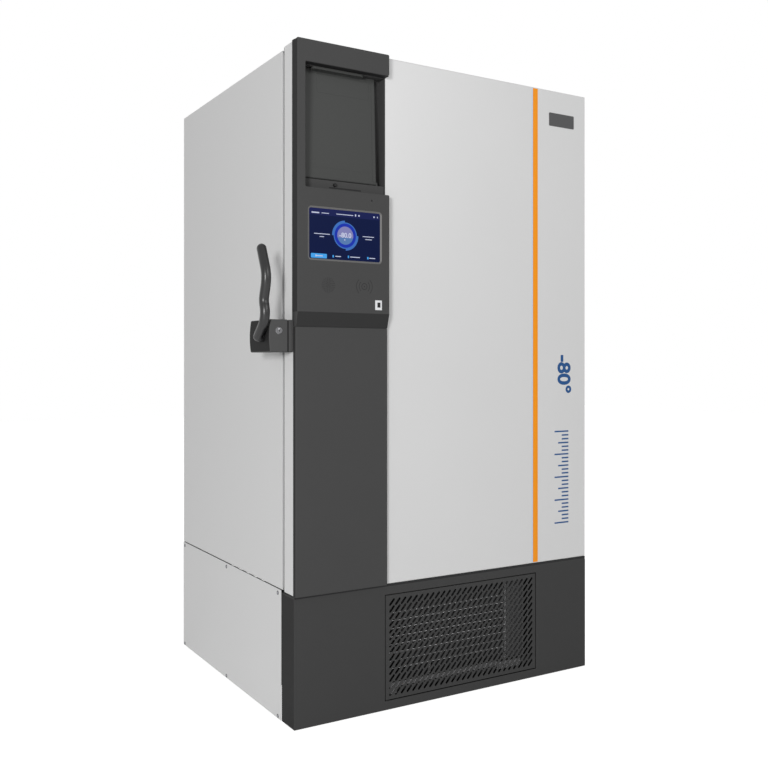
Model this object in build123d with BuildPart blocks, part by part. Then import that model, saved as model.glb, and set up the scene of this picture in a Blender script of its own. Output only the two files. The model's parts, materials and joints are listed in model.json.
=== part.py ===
from build123d import *
import math
import os

os.makedirs("parts", exist_ok=True)

# Ultra low temperature freezer, millimetres, +Z up, front towards -Y.
# The origin is on the floor, under the centre of the whole object's box.

# Overall sizes
cabinet_width = 1114
cabinet_depth = 875
door_depth = 66
seal_gap = 16
overall_height = 1980
door_rise = 8
cabinet_bottom = 390
door_bottom = 386
base_top = 383
skirt_bottom = 5
header_proud = 26
strip_proud = 14
spacer_length = 30

# Latch and lever on the left side
latch_stand = 74
lever_gap = 3
lever_radius = 14

# Outer door hinges on the right side
hinge_offset = 16
knuckle_radius = 11

# Walls
sheet = 1.2
side_wall = 100
top_wall = 100
floor_wall = 110
back_wall = 95
step = 15
breaker_sheet = 3
seat_depth = 65
liner_sheet = 1
plug_depth = 46
plug_clear = 8
panel_sheet = 2
fascia_sheet = 2
panel_thickness = 1.5

# Clearances
running_clear = 0.05
seat_clear = 0.3
thread_clear = 0.1

# Reference planes worked out from the sizes above
lever_reach = latch_stand + lever_gap + 2 * lever_radius
hinge_reach = hinge_offset + knuckle_radius
mid_x = (lever_reach - hinge_reach) / 2
left = mid_x - cabinet_width / 2
right = mid_x + cabinet_width / 2
cabinet_top = overall_height - door_rise
total_depth = header_proud + door_depth + seal_gap + cabinet_depth + spacer_length
door_y = header_proud - total_depth / 2
door_back = door_y + door_depth
cabinet_y = door_back + seal_gap
back = cabinet_y + cabinet_depth
seat_y = cabinet_y + seat_depth

chamber_x = (left + side_wall, right - side_wall)
chamber_y = (seat_y + breaker_sheet, back - back_wall)
chamber_z = (cabinet_bottom + floor_wall, cabinet_top - top_wall)
opening_x = (chamber_x[0] - step, chamber_x[1] + step)
opening_z = (chamber_z[0] - step, chamber_z[1] + step)
middle_z = (chamber_z[0] + chamber_z[1]) / 2


def span(centre, width):
    """The low and high ends of a width about its centre."""
    return (centre - width / 2, centre + width / 2)


def grow(ends, amount):
    """The low and high ends, both moved outwards by an amount."""
    return (ends[0] - amount, ends[1] + amount)


def block(x, y, z, mode=Mode.ADD):
    """A box between the low and high ends given along each axis."""
    centre = tuple((ends[0] + ends[1]) / 2 for ends in (x, y, z))
    with Locations(centre):
        Box(x[1] - x[0], y[1] - y[0], z[1] - z[0], mode=mode)


def bar(start, direction, radius, length, mode=Mode.ADD):
    """A round bar from its start point along a direction."""
    with Locations(Plane(origin=start, z_dir=direction)):
        Cylinder(radius, length, align=(Align.CENTER, Align.CENTER, Align.MIN), mode=mode)


def ring(x, y, z, border, mode=Mode.ADD):
    """A rectangular ring that faces the front, with the outer ends given."""
    with BuildSketch(Plane.XZ.offset(-y[1])) as outline:
        with Locations(((x[0] + x[1]) / 2, (z[0] + z[1]) / 2)):
            Rectangle(x[1] - x[0], z[1] - z[0])
            Rectangle(x[1] - x[0] - 2 * border, z[1] - z[0] - 2 * border, mode=Mode.SUBTRACT)
    extrude(outline.sketch, amount=y[1] - y[0], mode=mode)


along_x = (1, 0, 0)
along_y = (0, 1, 0)
along_z = (0, 0, 1)

# Cabinet shell: one painted sheet folded round the foam, open at the front
port_radius = 14
port_wall = 3
port_x = mid_x + 250
port_z = cabinet_top - 420
port_hole = port_radius + port_wall + thread_clear

with BuildPart() as outer_shell:
    block((left, right), (cabinet_y, back), (cabinet_bottom, cabinet_top))
    block(
        (left + sheet, right - sheet),
        (cabinet_y - 1, back - sheet),
        (cabinet_bottom + sheet, cabinet_top - sheet),
        mode=Mode.SUBTRACT,
    )
    bar((port_x, back - 2 * sheet, port_z), along_y, port_hole, 3 * sheet, mode=Mode.SUBTRACT)
outer_shell.part.label = "outer_shell"
export_step(outer_shell.part, "parts/outer_shell.step")

# Foam of the cabinet, between the shell, the breaker frame and the liner
with BuildPart() as cabinet_insulation:
    block(
        (left + sheet, right - sheet),
        (cabinet_y + breaker_sheet, back - sheet),
        (cabinet_bottom + sheet, cabinet_top - sheet),
    )
    block(
        grow(opening_x, breaker_sheet),
        (cabinet_y, seat_y + breaker_sheet),
        grow(opening_z, breaker_sheet),
        mode=Mode.SUBTRACT,
    )
    block(
        grow(chamber_x, liner_sheet),
        (cabinet_y, chamber_y[1] + liner_sheet),
        grow(chamber_z, liner_sheet),
        mode=Mode.SUBTRACT,
    )
    bar((port_x, chamber_y[1], port_z), along_y, port_hole, back_wall, mode=Mode.SUBTRACT)
cabinet_insulation.part.label = "cabinet_insulation"
export_step(cabinet_insulation.part, "parts/cabinet_insulation.step")

# Stainless liner of the cold chamber
with BuildPart() as inner_liner:
    block(
        grow(chamber_x, liner_sheet),
        (chamber_y[0], chamber_y[1] + liner_sheet),
        grow(chamber_z, liner_sheet),
    )
    block(chamber_x, (chamber_y[0] - 1, chamber_y[1]), chamber_z, mode=Mode.SUBTRACT)
    bar((port_x, chamber_y[1] - 1, port_z), along_y, port_hole, 3, mode=Mode.SUBTRACT)
inner_liner.part.label = "inner_liner"
export_step(inner_liner.part, "parts/inner_liner.step")

# Inner doors: two foam slabs that close on the step of the opening
inner_seal = 3
inner_door_thickness = 26
inner_door_clear = 4
inner_axis_inset = 10
inner_door_gap = 6
inner_lug_height = 30
inner_pin_radius = 3
inner_bracket_height = 6
inner_bracket_half = 5
inner_strap = (20, 4)
inner_door_y = (seat_y - inner_seal - inner_door_thickness, seat_y - inner_seal)
inner_axis_x = opening_x[1] - inner_axis_inset
inner_door_x = (opening_x[0] + inner_door_clear, inner_axis_x - inner_axis_inset)
inner_door_spans = {
    "lower": (opening_z[0] + inner_door_clear, middle_z - inner_door_gap / 2),
    "upper": (middle_z + inner_door_gap / 2, opening_z[1] - inner_door_clear),
}


def lug_heights(ends):
    """Centres of the two hinge lugs of an inner door."""
    inset = (ends[1] - ends[0]) / 6
    return (ends[0] + inset, ends[1] - inset)


# Breaker frame: the plastic ring round the opening, with the step that the inner doors close on
with BuildPart() as breaker_frame:
    ring(
        (left + sheet, right - sheet),
        (cabinet_y, cabinet_y + breaker_sheet),
        (cabinet_bottom + sheet, cabinet_top - sheet),
        min(side_wall, top_wall) - step - sheet,
    )
    block(
        grow(opening_x, breaker_sheet),
        (cabinet_y, seat_y + breaker_sheet),
        grow(opening_z, breaker_sheet),
    )
    block(
        (left + side_wall / 2, right - side_wall / 2),
        (cabinet_y, cabinet_y + breaker_sheet),
        (cabinet_bottom + sheet, chamber_z[0]),
    )
    block(opening_x, (cabinet_y - 1, seat_y), opening_z, mode=Mode.SUBTRACT)
    block(chamber_x, (seat_y - 1, seat_y + 2 * breaker_sheet), chamber_z, mode=Mode.SUBTRACT)
    for ends in inner_door_spans.values():
        for lug_z in lug_heights(ends):
            for side in (-1, 1):
                bracket_z = lug_z + side * (inner_lug_height / 2 + seat_clear + inner_bracket_height / 2)
                block(
                    (inner_axis_x - inner_bracket_half, opening_x[1]),
                    grow((inner_door_y[0], inner_door_y[0]), inner_bracket_half),
                    span(bracket_z, inner_bracket_height),
                )
            pin_bottom = lug_z - inner_lug_height / 2 - seat_clear
            bar(
                (inner_axis_x, inner_door_y[0], pin_bottom),
                along_z,
                inner_pin_radius,
                inner_lug_height + 2 * seat_clear,
            )
breaker_frame.part.label = "breaker_frame"
export_step(breaker_frame.part, "parts/breaker_frame.step")

for name, ends in inner_door_spans.items():
    with BuildPart() as inner_door:
        block(inner_door_x, inner_door_y, ends)
        fillet(inner_door.edges().filter_by(Axis.Z).group_by(Axis.Y)[0], 6)
        for lug_z in lug_heights(ends):
            block(
                (inner_door_x[1] - 1, inner_axis_x + inner_bracket_half),
                grow((inner_door_y[0], inner_door_y[0]), inner_bracket_half),
                span(lug_z, inner_lug_height),
            )
            block(
                (inner_door_x[1] - inner_strap[0], inner_door_x[1] - 1),
                (inner_door_y[0] - inner_strap[1], inner_door_y[0]),
                span(lug_z, inner_lug_height),
            )
            bar(
                (inner_axis_x, inner_door_y[0], lug_z - inner_lug_height),
                along_z,
                inner_pin_radius + running_clear,
                2 * inner_lug_height,
                mode=Mode.SUBTRACT,
            )
    inner_door.part.label = f"inner_door_{name}"
    export_step(inner_door.part, f"parts/inner_door_{name}.step")

    with BuildPart() as inner_gasket:
        ring(
            (inner_door_x[0] + 2, inner_door_x[1] - 2),
            (inner_door_y[1], seat_y),
            (ends[0] + 1, ends[1] - 1),
            14,
        )
    inner_gasket.part.label = f"inner_gasket_{name}"
    export_step(inner_gasket.part, f"parts/inner_gasket_{name}.step")

# Mullion: the stainless bar between the two inner doors
with BuildPart() as inner_door_mullion:
    block(chamber_x, (seat_y, seat_y + 18), span(middle_z, 40))
inner_door_mullion.part.label = "inner_door_mullion"
export_step(inner_door_mullion.part, "parts/inner_door_mullion.step")

# Evaporator: one copper tube wound up the outside of the liner, in the foam
coil_radius = 4.75
coil_rows = 6
coil_bend = 14
coil_stand = 3
coil_offset = liner_sheet + coil_stand + coil_radius
coil_x = grow(chamber_x, coil_offset)
coil_y = (chamber_y[0] + 30, chamber_y[1] + coil_offset)
coil_points = []
for row in range(coil_rows):
    row_z = chamber_z[0] + 120 + row * (chamber_z[1] - chamber_z[0] - 240) / (coil_rows - 1)
    corners = [(coil_x[0], coil_y[0]), (coil_x[0], coil_y[1]), (coil_x[1], coil_y[1]), (coil_x[1], coil_y[0])]
    if row % 2:
        corners.reverse()
    coil_points += [(x, y, row_z) for x, y in corners]
with BuildPart() as evaporator_coil:
    with BuildLine() as coil_path:
        FilletPolyline(*coil_points, radius=coil_bend)
    with BuildSketch(Plane(origin=coil_points[0], z_dir=along_y)):
        Circle(coil_radius)
    sweep(path=coil_path.wires()[0])
evaporator_coil.part.label = "evaporator_coil"
export_step(evaporator_coil.part, "parts/evaporator_coil.step")

# Shelves and the slotted tracks that carry them
shelf_pitch = (chamber_z[1] - chamber_z[0]) / 4
shelf_heights = {"lower": 1, "middle": 2, "upper": 3}
shelf_lip = 20
shelf_sheet = 1.5
track_width = 22
track_thickness = 3
tab_reach = 12
tab_height = 4
shelf_x = grow(chamber_x, -track_thickness - 1)
shelf_y = (seat_y + 28, chamber_y[1] - 12)

with BuildPart() as shelf_pilasters:
    for track_y in (shelf_y[0] + 70, shelf_y[1] - 70):
        for wall, inward in ((chamber_x[0], 1), (chamber_x[1], -1)):
            track = sorted((wall, wall + inward * track_thickness))
            block(track, span(track_y, track_width), grow(chamber_z, -30))
            for level in shelf_heights.values():
                tab_top = chamber_z[0] + level * shelf_pitch - shelf_lip
                tab = sorted((wall, wall + inward * tab_reach))
                block(tab, span(track_y, track_width), (tab_top - tab_height, tab_top))
shelf_pilasters.part.label = "shelf_pilasters"
export_step(shelf_pilasters.part, "parts/shelf_pilasters.step")

for name, level in shelf_heights.items():
    shelf_z = chamber_z[0] + level * shelf_pitch
    with BuildPart() as shelf:
        block(shelf_x, shelf_y, (shelf_z - shelf_lip, shelf_z))
        block(
            grow(shelf_x, -shelf_sheet),
            grow(shelf_y, -shelf_sheet),
            (shelf_z - shelf_lip - 1, shelf_z - shelf_sheet),
            mode=Mode.SUBTRACT,
        )
    shelf.part.label = f"shelf_{name}"
    export_step(shelf.part, f"parts/shelf_{name}.step")

# Access port: a sleeve through the back wall, with a rubber plug in its inner end
port_flange = 26
port_flange_thickness = 3
plug_length = 30
plug_radius = 12.5
with BuildPart() as access_port_sleeve:
    bar((port_x, chamber_y[1], port_z), along_y, port_radius + port_wall, back_wall)
    bar((port_x, back, port_z), along_y, port_flange, port_flange_thickness)
    bar((port_x, chamber_y[1] - 1, port_z), along_y, plug_radius, back_wall, mode=Mode.SUBTRACT)
    bar((port_x, chamber_y[1] + plug_length, port_z), along_y, port_radius, back_wall, mode=Mode.SUBTRACT)
access_port_sleeve.part.label = "access_port_sleeve"
export_step(access_port_sleeve.part, "parts/access_port_sleeve.step")

with BuildPart() as access_port_plug:
    bar((port_x, chamber_y[1], port_z), along_y, plug_radius - thread_clear, plug_length - 1)
    bar((port_x, chamber_y[1] - 4, port_z), along_y, port_radius + port_wall + 3, 4)
access_port_plug.part.label = "access_port_plug"
export_step(access_port_plug.part, "parts/access_port_plug.step")

# Rubber spacers that keep the back clear of the wall
spacer_radius = 20
with BuildPart() as rear_spacers:
    for spacer_x in (mid_x - 400, mid_x + 400):
        for spacer_z in (cabinet_bottom + 110, cabinet_top - 110):
            bar((spacer_x, back, spacer_z), along_y, spacer_radius, spacer_length)
rear_spacers.part.label = "rear_spacers"
export_step(rear_spacers.part, "parts/rear_spacers.step")

# Recess in the door's dark column, where the recorder sits
column_right = left + 303
column_wrap = 2
frame_width = 24
header_bottom = overall_height - 64
panel_top = overall_height - 421
chamfer_top = overall_height - 778
chamfer_bottom = chamfer_top - 42
tray_depth = 37
tray_wall = 2
tray_x = (left + frame_width, column_right)
tray_z = (panel_top, header_bottom)

# Outer door: folded skin, foam, inner panel and main gasket
plug_x = grow(opening_x, -plug_clear)
plug_z = grow(opening_z, -plug_clear)
with BuildPart() as door_skin:
    block((left, right), (door_y, door_back), (door_bottom, overall_height))
    block(
        (left + sheet, right - sheet),
        (door_y + sheet, door_back + 1),
        (door_bottom + sheet, overall_height - sheet),
        mode=Mode.SUBTRACT,
    )
    block(tray_x, (door_y - 1, door_y + 2 * sheet), tray_z, mode=Mode.SUBTRACT)
door_skin.part.label = "door_skin"
export_step(door_skin.part, "parts/door_skin.step")

with BuildPart() as door_insulation:
    block(
        (left + sheet, right - sheet),
        (door_y + sheet, door_back - panel_sheet),
        (door_bottom + sheet, overall_height - sheet),
    )
    block(
        grow(plug_x, -panel_sheet),
        (door_back - panel_sheet, door_back + plug_depth - panel_sheet),
        grow(plug_z, -panel_sheet),
    )
    block(tray_x, (door_y, door_y + tray_depth), tray_z, mode=Mode.SUBTRACT)
door_insulation.part.label = "door_insulation"
export_step(door_insulation.part, "parts/door_insulation.step")

with BuildPart() as door_inner_panel:
    block(
        (left + sheet, right - sheet),
        (door_back - panel_sheet, door_back),
        (door_bottom + sheet, overall_height - sheet),
    )
    block(plug_x, (door_back, door_back + plug_depth), plug_z)
    block(
        grow(plug_x, -panel_sheet),
        (door_y, door_back + plug_depth - panel_sheet),
        grow(plug_z, -panel_sheet),
        mode=Mode.SUBTRACT,
    )
door_inner_panel.part.label = "door_inner_panel"
export_step(door_inner_panel.part, "parts/door_inner_panel.step")

gasket_margin = 20
gasket_width = 24
with BuildPart() as door_gasket:
    ring(
        grow(opening_x, gasket_margin + gasket_width),
        (door_back, cabinet_y),
        grow(opening_z, gasket_margin + gasket_width),
        gasket_width,
    )
door_gasket.part.label = "door_gasket"
export_step(door_gasket.part, "parts/door_gasket.step")

# Lower dark strip of the door: a shallow cover on the door's left edge
strip_wall = 2.5
strip_wrap = 3
column_left = left - column_wrap
with BuildPart() as side_strip:
    block((column_left, column_right), (door_y - strip_proud, door_y), (door_bottom, chamfer_bottom))
    block(
        (left + strip_wall, column_right - strip_wall),
        (door_y - strip_proud + strip_wall, door_y + 1),
        (door_bottom + strip_wall, chamfer_bottom - strip_wall),
        mode=Mode.SUBTRACT,
    )
    block((column_left, left), (door_y, door_y + strip_wrap), (door_bottom, chamfer_bottom))
side_strip.part.label = "side_strip"
export_step(side_strip.part, "parts/side_strip.step")

# Control housing: header, left frame and control panel in one moulding
housing_wall = 3
housing_wrap = 10
screen_x = span(left + 152, 250)
screen_z = span(panel_top - 133, 164)
screen_flange = 5
usb_x = span(column_right - 38.5, 23)
usb_z = span(chamfer_top + 25.5, 29)
usb_edge = 2
lamp_x = column_right - 62
lamp_z = panel_top - 22
header_front = door_y - header_proud
strip_front = door_y - strip_proud
with BuildPart() as control_housing:
    with BuildSketch(Plane.YZ.offset(column_left)):
        with BuildLine():
            Polyline(
                (door_y, chamfer_bottom),
                (strip_front, chamfer_bottom),
                (header_front, chamfer_top),
                (header_front, overall_height),
                (door_y, overall_height),
                close=True,
            )
        make_face()
    extrude(amount=column_right - column_left)
    block((column_left, left), (door_y, door_y + housing_wrap), (chamfer_bottom, overall_height))
    block(
        (left + frame_width, column_right + 1),
        (header_front - 1, door_y + 1),
        (panel_top, header_bottom),
        mode=Mode.SUBTRACT,
    )
    block(
        (left + housing_wall, column_right - housing_wall),
        (header_front + housing_wall, door_y + 1),
        (header_bottom + housing_wall, overall_height - housing_wall),
        mode=Mode.SUBTRACT,
    )
    block(
        (left + housing_wall, left + frame_width - housing_wall),
        (header_front + housing_wall, door_y + 1),
        (panel_top, header_bottom + 2 * housing_wall),
        mode=Mode.SUBTRACT,
    )
    block(
        (left + housing_wall, column_right - housing_wall),
        (header_front + housing_wall, door_y + 1),
        (chamfer_top, panel_top - housing_wall),
        mode=Mode.SUBTRACT,
    )
    block(screen_x, (header_front - 1, door_y), screen_z, mode=Mode.SUBTRACT)
    block(
        grow(usb_x, -usb_edge),
        (header_front - 1, door_y),
        grow(usb_z, -usb_edge),
        mode=Mode.SUBTRACT,
    )
    bar((lamp_x, header_front - 1, lamp_z), along_y, 2.2, housing_wall + 2, mode=Mode.SUBTRACT)
control_housing.part.label = "control_housing"
export_step(control_housing.part, "parts/control_housing.step")

# Touch screen: its face fills the window, its flange rests on the back of the wall
screen_depth = 14
with BuildPart() as display_screen:
    block(
        grow(screen_x, -seat_clear),
        (header_front - 1, header_front + housing_wall),
        grow(screen_z, -seat_clear),
    )
    block(
        grow(screen_x, screen_flange),
        (header_front + housing_wall, header_front + screen_depth),
        grow(screen_z, screen_flange),
    )
display_screen.part.label = "display_screen"
export_step(display_screen.part, "parts/display_screen.step")

# USB port: a plate on the panel, with the socket body through it
usb_slot_width = 7
usb_slot_height = 14
usb_body_depth = 16
with BuildPart() as usb_port:
    block(usb_x, (header_front - 1, header_front), usb_z)
    block(
        grow(usb_x, -usb_edge - seat_clear),
        (header_front, header_front + usb_body_depth),
        grow(usb_z, -usb_edge - seat_clear),
    )
    block(
        span(sum(usb_x) / 2, usb_slot_width),
        (header_front - 2, header_front + usb_body_depth - 3),
        span(sum(usb_z) / 2, usb_slot_height),
        mode=Mode.SUBTRACT,
    )
usb_port.part.label = "usb_port"
export_step(usb_port.part, "parts/usb_port.step")

# Recorder tray: a tub in the door, with a sill that carries the cover
cover_side_gap = 28
cover_barrel = 4
cover_axis_y = door_y + 10
sill_top = panel_top + 30
cover_axis_z = sill_top + 6
ear_thickness = 4
ear_gap = 0.5
trunnion_radius = 2
ear_left = (tray_x[0] + tray_wall, tray_x[0] + tray_wall + ear_thickness)
ear_right = (column_right - cover_side_gap, column_right - cover_side_gap + ear_thickness)
with BuildPart() as recorder_tray:
    block(tray_x, (door_y, door_y + tray_depth), tray_z)
    block(
        grow(tray_x, -tray_wall),
        (door_y - 1, door_y + tray_depth - tray_wall),
        grow(tray_z, -tray_wall),
        mode=Mode.SUBTRACT,
    )
    block(grow(tray_x, -tray_wall), (door_y + 4, door_y + tray_depth - 1), (panel_top + 1, sill_top))
    for ear in (ear_left, ear_right):
        block(ear, span(cover_axis_y, 4 * cover_barrel / 2), (sill_top - 1, cover_axis_z + cover_barrel))
        bar(
            (ear[0] - 1, cover_axis_y, cover_axis_z),
            along_x,
            trunnion_radius + running_clear,
            ear_thickness + 2,
            mode=Mode.SUBTRACT,
        )
recorder_tray.part.label = "recorder_tray"
export_step(recorder_tray.part, "parts/recorder_tray.step")

# Recorder cover: a smoked sheet on two trunnions, which leans back when it is shut
cover_lean = math.radians(2)
cover_sheet = 4
cover_x = (ear_left[1] + ear_gap, ear_right[0] - ear_gap)
cover_length = (tray_z[1] - tray_wall - cover_axis_z - 1.5) / math.cos(cover_lean)
grip_x = span(left + 143, 170)
grip_reach = 22
cover_up = (math.sin(cover_lean), math.cos(cover_lean))
cover_out = (-math.cos(cover_lean), math.sin(cover_lean))


def on_cover(outwards, upwards):
    """A point of the cover's section, from its axis outwards and up its face."""
    return (
        cover_axis_y + outwards * cover_out[0] + upwards * cover_up[0],
        cover_axis_z + outwards * cover_out[1] + upwards * cover_up[1],
    )


with BuildPart() as recorder_cover:
    with BuildSketch(Plane.YZ.offset(cover_x[0])):
        with BuildLine():
            Polyline(
                on_cover(cover_barrel, 0),
                on_cover(cover_barrel, cover_length),
                on_cover(cover_barrel - cover_sheet, cover_length),
                on_cover(cover_barrel - cover_sheet, 0),
                close=True,
            )
        make_face()
        with Locations((cover_axis_y, cover_axis_z)):
            Circle(cover_barrel)
    extrude(amount=cover_x[1] - cover_x[0])
    with BuildSketch(Plane.YZ.offset(grip_x[0])):
        with BuildLine():
            Polyline(
                on_cover(cover_barrel - 1, cover_length - 3),
                on_cover(cover_barrel + grip_reach, cover_length - 3),
                on_cover(cover_barrel + grip_reach, cover_length - 6),
                on_cover(cover_barrel - 1, cover_length - 6),
                close=True,
            )
        make_face()
    extrude(amount=grip_x[1] - grip_x[0])
    bar(
        (cover_x[0] - ear_gap - ear_thickness + 0.5, cover_axis_y, cover_axis_z),
        along_x,
        trunnion_radius,
        cover_x[1] - cover_x[0] + 2 * (ear_gap + ear_thickness - 0.5),
    )
recorder_cover.part.label = "recorder_cover"
export_step(recorder_cover.part, "parts/recorder_cover.step")

# Latch on the left: base on the door's side, hollow housing, lever and key lock
latch_z = span(chamfer_bottom - 29, 89)
latch_inset = 4
latch_length = 138
latch_y = (door_y + latch_inset, door_y + latch_inset + latch_length)
latch_wall = 4
latch_plate = 15
latch_neck = 5
latch_groove = 4
pivot_y = door_y + 46
pivot_z = sum(latch_z) / 2
shaft_radius = 6
housing_x = (left - latch_stand, left - latch_plate - latch_neck)
strike_slot = 16
lock_x = left - 45
lock_z = pivot_z + 17
lock_radius = 9
with BuildPart() as latch_base:
    block((left - latch_plate, left), (door_y + housing_wrap, door_back), latch_z)
    fillet(latch_base.edges().filter_by(Axis.X), 6)
    block(
        (left - latch_plate - latch_neck, left - latch_plate),
        (door_y + housing_wrap + latch_groove, door_back),
        grow(latch_z, -latch_groove),
    )
    bar(
        (housing_x[1] - 1, pivot_y, pivot_z),
        along_x,
        shaft_radius + running_clear,
        latch_neck + latch_plate / 2,
        mode=Mode.SUBTRACT,
    )
latch_base.part.label = "latch_base"
export_step(latch_base.part, "parts/latch_base.step")

with BuildPart() as latch_housing:
    block(housing_x, latch_y, latch_z)
    fillet(latch_housing.edges().filter_by(Axis.Z).group_by(Axis.X)[0], 8)
    fillet(latch_housing.faces().sort_by(Axis.X)[0].edges(), 3)
    block(
        (housing_x[0] + latch_wall, housing_x[1] + 1),
        grow(latch_y, -latch_wall),
        grow(latch_z, -latch_wall),
        mode=Mode.SUBTRACT,
    )
    block(
        (left - 52, housing_x[1] + 1),
        (latch_y[1] - 2 * latch_wall, latch_y[1] + 1),
        span(pivot_z, 2 * strike_slot),
        mode=Mode.SUBTRACT,
    )
    bar(
        (housing_x[0] - 1, pivot_y, pivot_z),
        along_x,
        shaft_radius + running_clear,
        latch_wall + 2,
        mode=Mode.SUBTRACT,
    )
    bar(
        (lock_x, latch_y[0] - 1, lock_z),
        along_y,
        lock_radius + running_clear,
        latch_wall + 2,
        mode=Mode.SUBTRACT,
    )
latch_housing.part.label = "latch_housing"
export_step(latch_housing.part, "parts/latch_housing.step")

# Lever: a bent round bar, its boss and shaft, and the cam that holds the strike
lever_x = left - latch_stand - lever_gap - lever_radius
boss_radius = 15
cam_x = (left - 50, left - 42)
cam_hub = 13
cam_reach = 34
cam_height = 16
strike_radius = 5
strike_drop = 0.8
strike_y = pivot_y + 34
lever_bends = [(0, 0), (55, -58), (99, -38), (168, -61), (248, -24)]
lever_points = [(lever_x, pivot_y + lean, pivot_z + rise) for rise, lean in lever_bends]
with BuildPart() as handle_lever:
    with BuildLine() as lever_path:
        FilletPolyline(*lever_points, radius=[50, 40, 70])
    first_run = lever_path.edges()[0]
    with BuildSketch(Plane(origin=first_run @ 0, z_dir=first_run % 0)):
        Circle(lever_radius)
    sweep(path=lever_path.wires()[0])
    with Locations(lever_points[0], lever_points[-1]):
        Sphere(lever_radius)
    boss_end = left - latch_stand - seat_clear
    bar((lever_x, pivot_y, pivot_z), along_x, boss_radius, boss_end - lever_x)
    bar((lever_x, pivot_y, pivot_z), along_x, shaft_radius, left - latch_plate / 2 - 2 - lever_x)
    bar((cam_x[0], pivot_y, pivot_z), along_x, cam_hub, cam_x[1] - cam_x[0])
    block(
        cam_x,
        (pivot_y, pivot_y + cam_reach),
        (pivot_z + strike_radius + strike_drop, pivot_z + cam_height),
    )
handle_lever.part.label = "handle_lever"
export_step(handle_lever.part, "parts/handle_lever.step")

# Key lock: the turning core with its key slot and its tail
lock_length = 24
with BuildPart() as lock_core:
    bar((lock_x, latch_y[0] - 2, lock_z), along_y, lock_radius, lock_length)
    bar((lock_x, latch_y[0] - 2, lock_z), along_y, lock_radius + 2, 1.7)
    block(
        span(lock_x, 2),
        (latch_y[0] - 3, latch_y[0] + 6),
        span(lock_z, 9),
        mode=Mode.SUBTRACT,
    )
lock_core.part.label = "lock_core"
export_step(lock_core.part, "parts/lock_core.step")

# Strike: a bracket on the cabinet's side that reaches into the latch housing
strike_plate = 3
strike_arm_x = (left - 39, left - 33)
strike_web_y = (cabinet_y + 14, cabinet_y + 22)
strike_half = 10
with BuildPart() as latch_strike:
    block((left - strike_plate, left), (cabinet_y + 4, cabinet_y + 52), span(pivot_z, 60))
    block((strike_arm_x[0], left), strike_web_y, span(pivot_z, 2 * strike_half))
    block(strike_arm_x, (strike_y - strike_radius, strike_web_y[1]), span(pivot_z, 2 * strike_radius))
    bar((cam_x[0], strike_y, pivot_z), along_x, strike_radius, strike_arm_x[1] - cam_x[0])
latch_strike.part.label = "latch_strike"
export_step(latch_strike.part, "parts/latch_strike.step")

# Lift-off hinges: the cabinet leaves carry the pins, the door leaves drop on them
hinge_heights = (cabinet_bottom + 130, (cabinet_bottom + cabinet_top) / 2, cabinet_top - 130)
leaf_height = 90
leaf_thickness = 4
hinge_pin = 6
hinge_x = right + hinge_offset
hinge_y = door_back + 6
leaf_gap = 0.6
with BuildPart() as cabinet_hinge_leaves:
    for hinge_z in hinge_heights:
        low = hinge_z - leaf_height / 2
        block((right, right + leaf_thickness), (cabinet_y + 2, cabinet_y + 62), span(hinge_z, leaf_height))
        bar((hinge_x, hinge_y, low), along_z, knuckle_radius, leaf_height / 2 - leaf_gap / 2)
        block((right + 1, hinge_x), (hinge_y, cabinet_y + 8), (low, hinge_z - leaf_gap / 2))
        bar((hinge_x, hinge_y, low), along_z, hinge_pin, leaf_height - 6)
cabinet_hinge_leaves.part.label = "cabinet_hinge_leaves"
export_step(cabinet_hinge_leaves.part, "parts/cabinet_hinge_leaves.step")

with BuildPart() as door_hinge_leaves:
    for hinge_z in hinge_heights:
        low = hinge_z + leaf_gap / 2
        high = hinge_z + leaf_height / 2
        block((right, right + leaf_thickness), (door_y + 8, door_back - 4), span(hinge_z, leaf_height))
        bar((hinge_x, hinge_y, low), along_z, knuckle_radius, high - low)
        block((right + 1, hinge_x), (door_back - 12, hinge_y), (low, high))
        bar(
            (hinge_x, hinge_y, low - 1),
            along_z,
            hinge_pin + running_clear,
            leaf_height / 2 - 4,
            mode=Mode.SUBTRACT,
        )
door_hinge_leaves.part.label = "door_hinge_leaves"
export_step(door_hinge_leaves.part, "parts/door_hinge_leaves.step")

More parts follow.
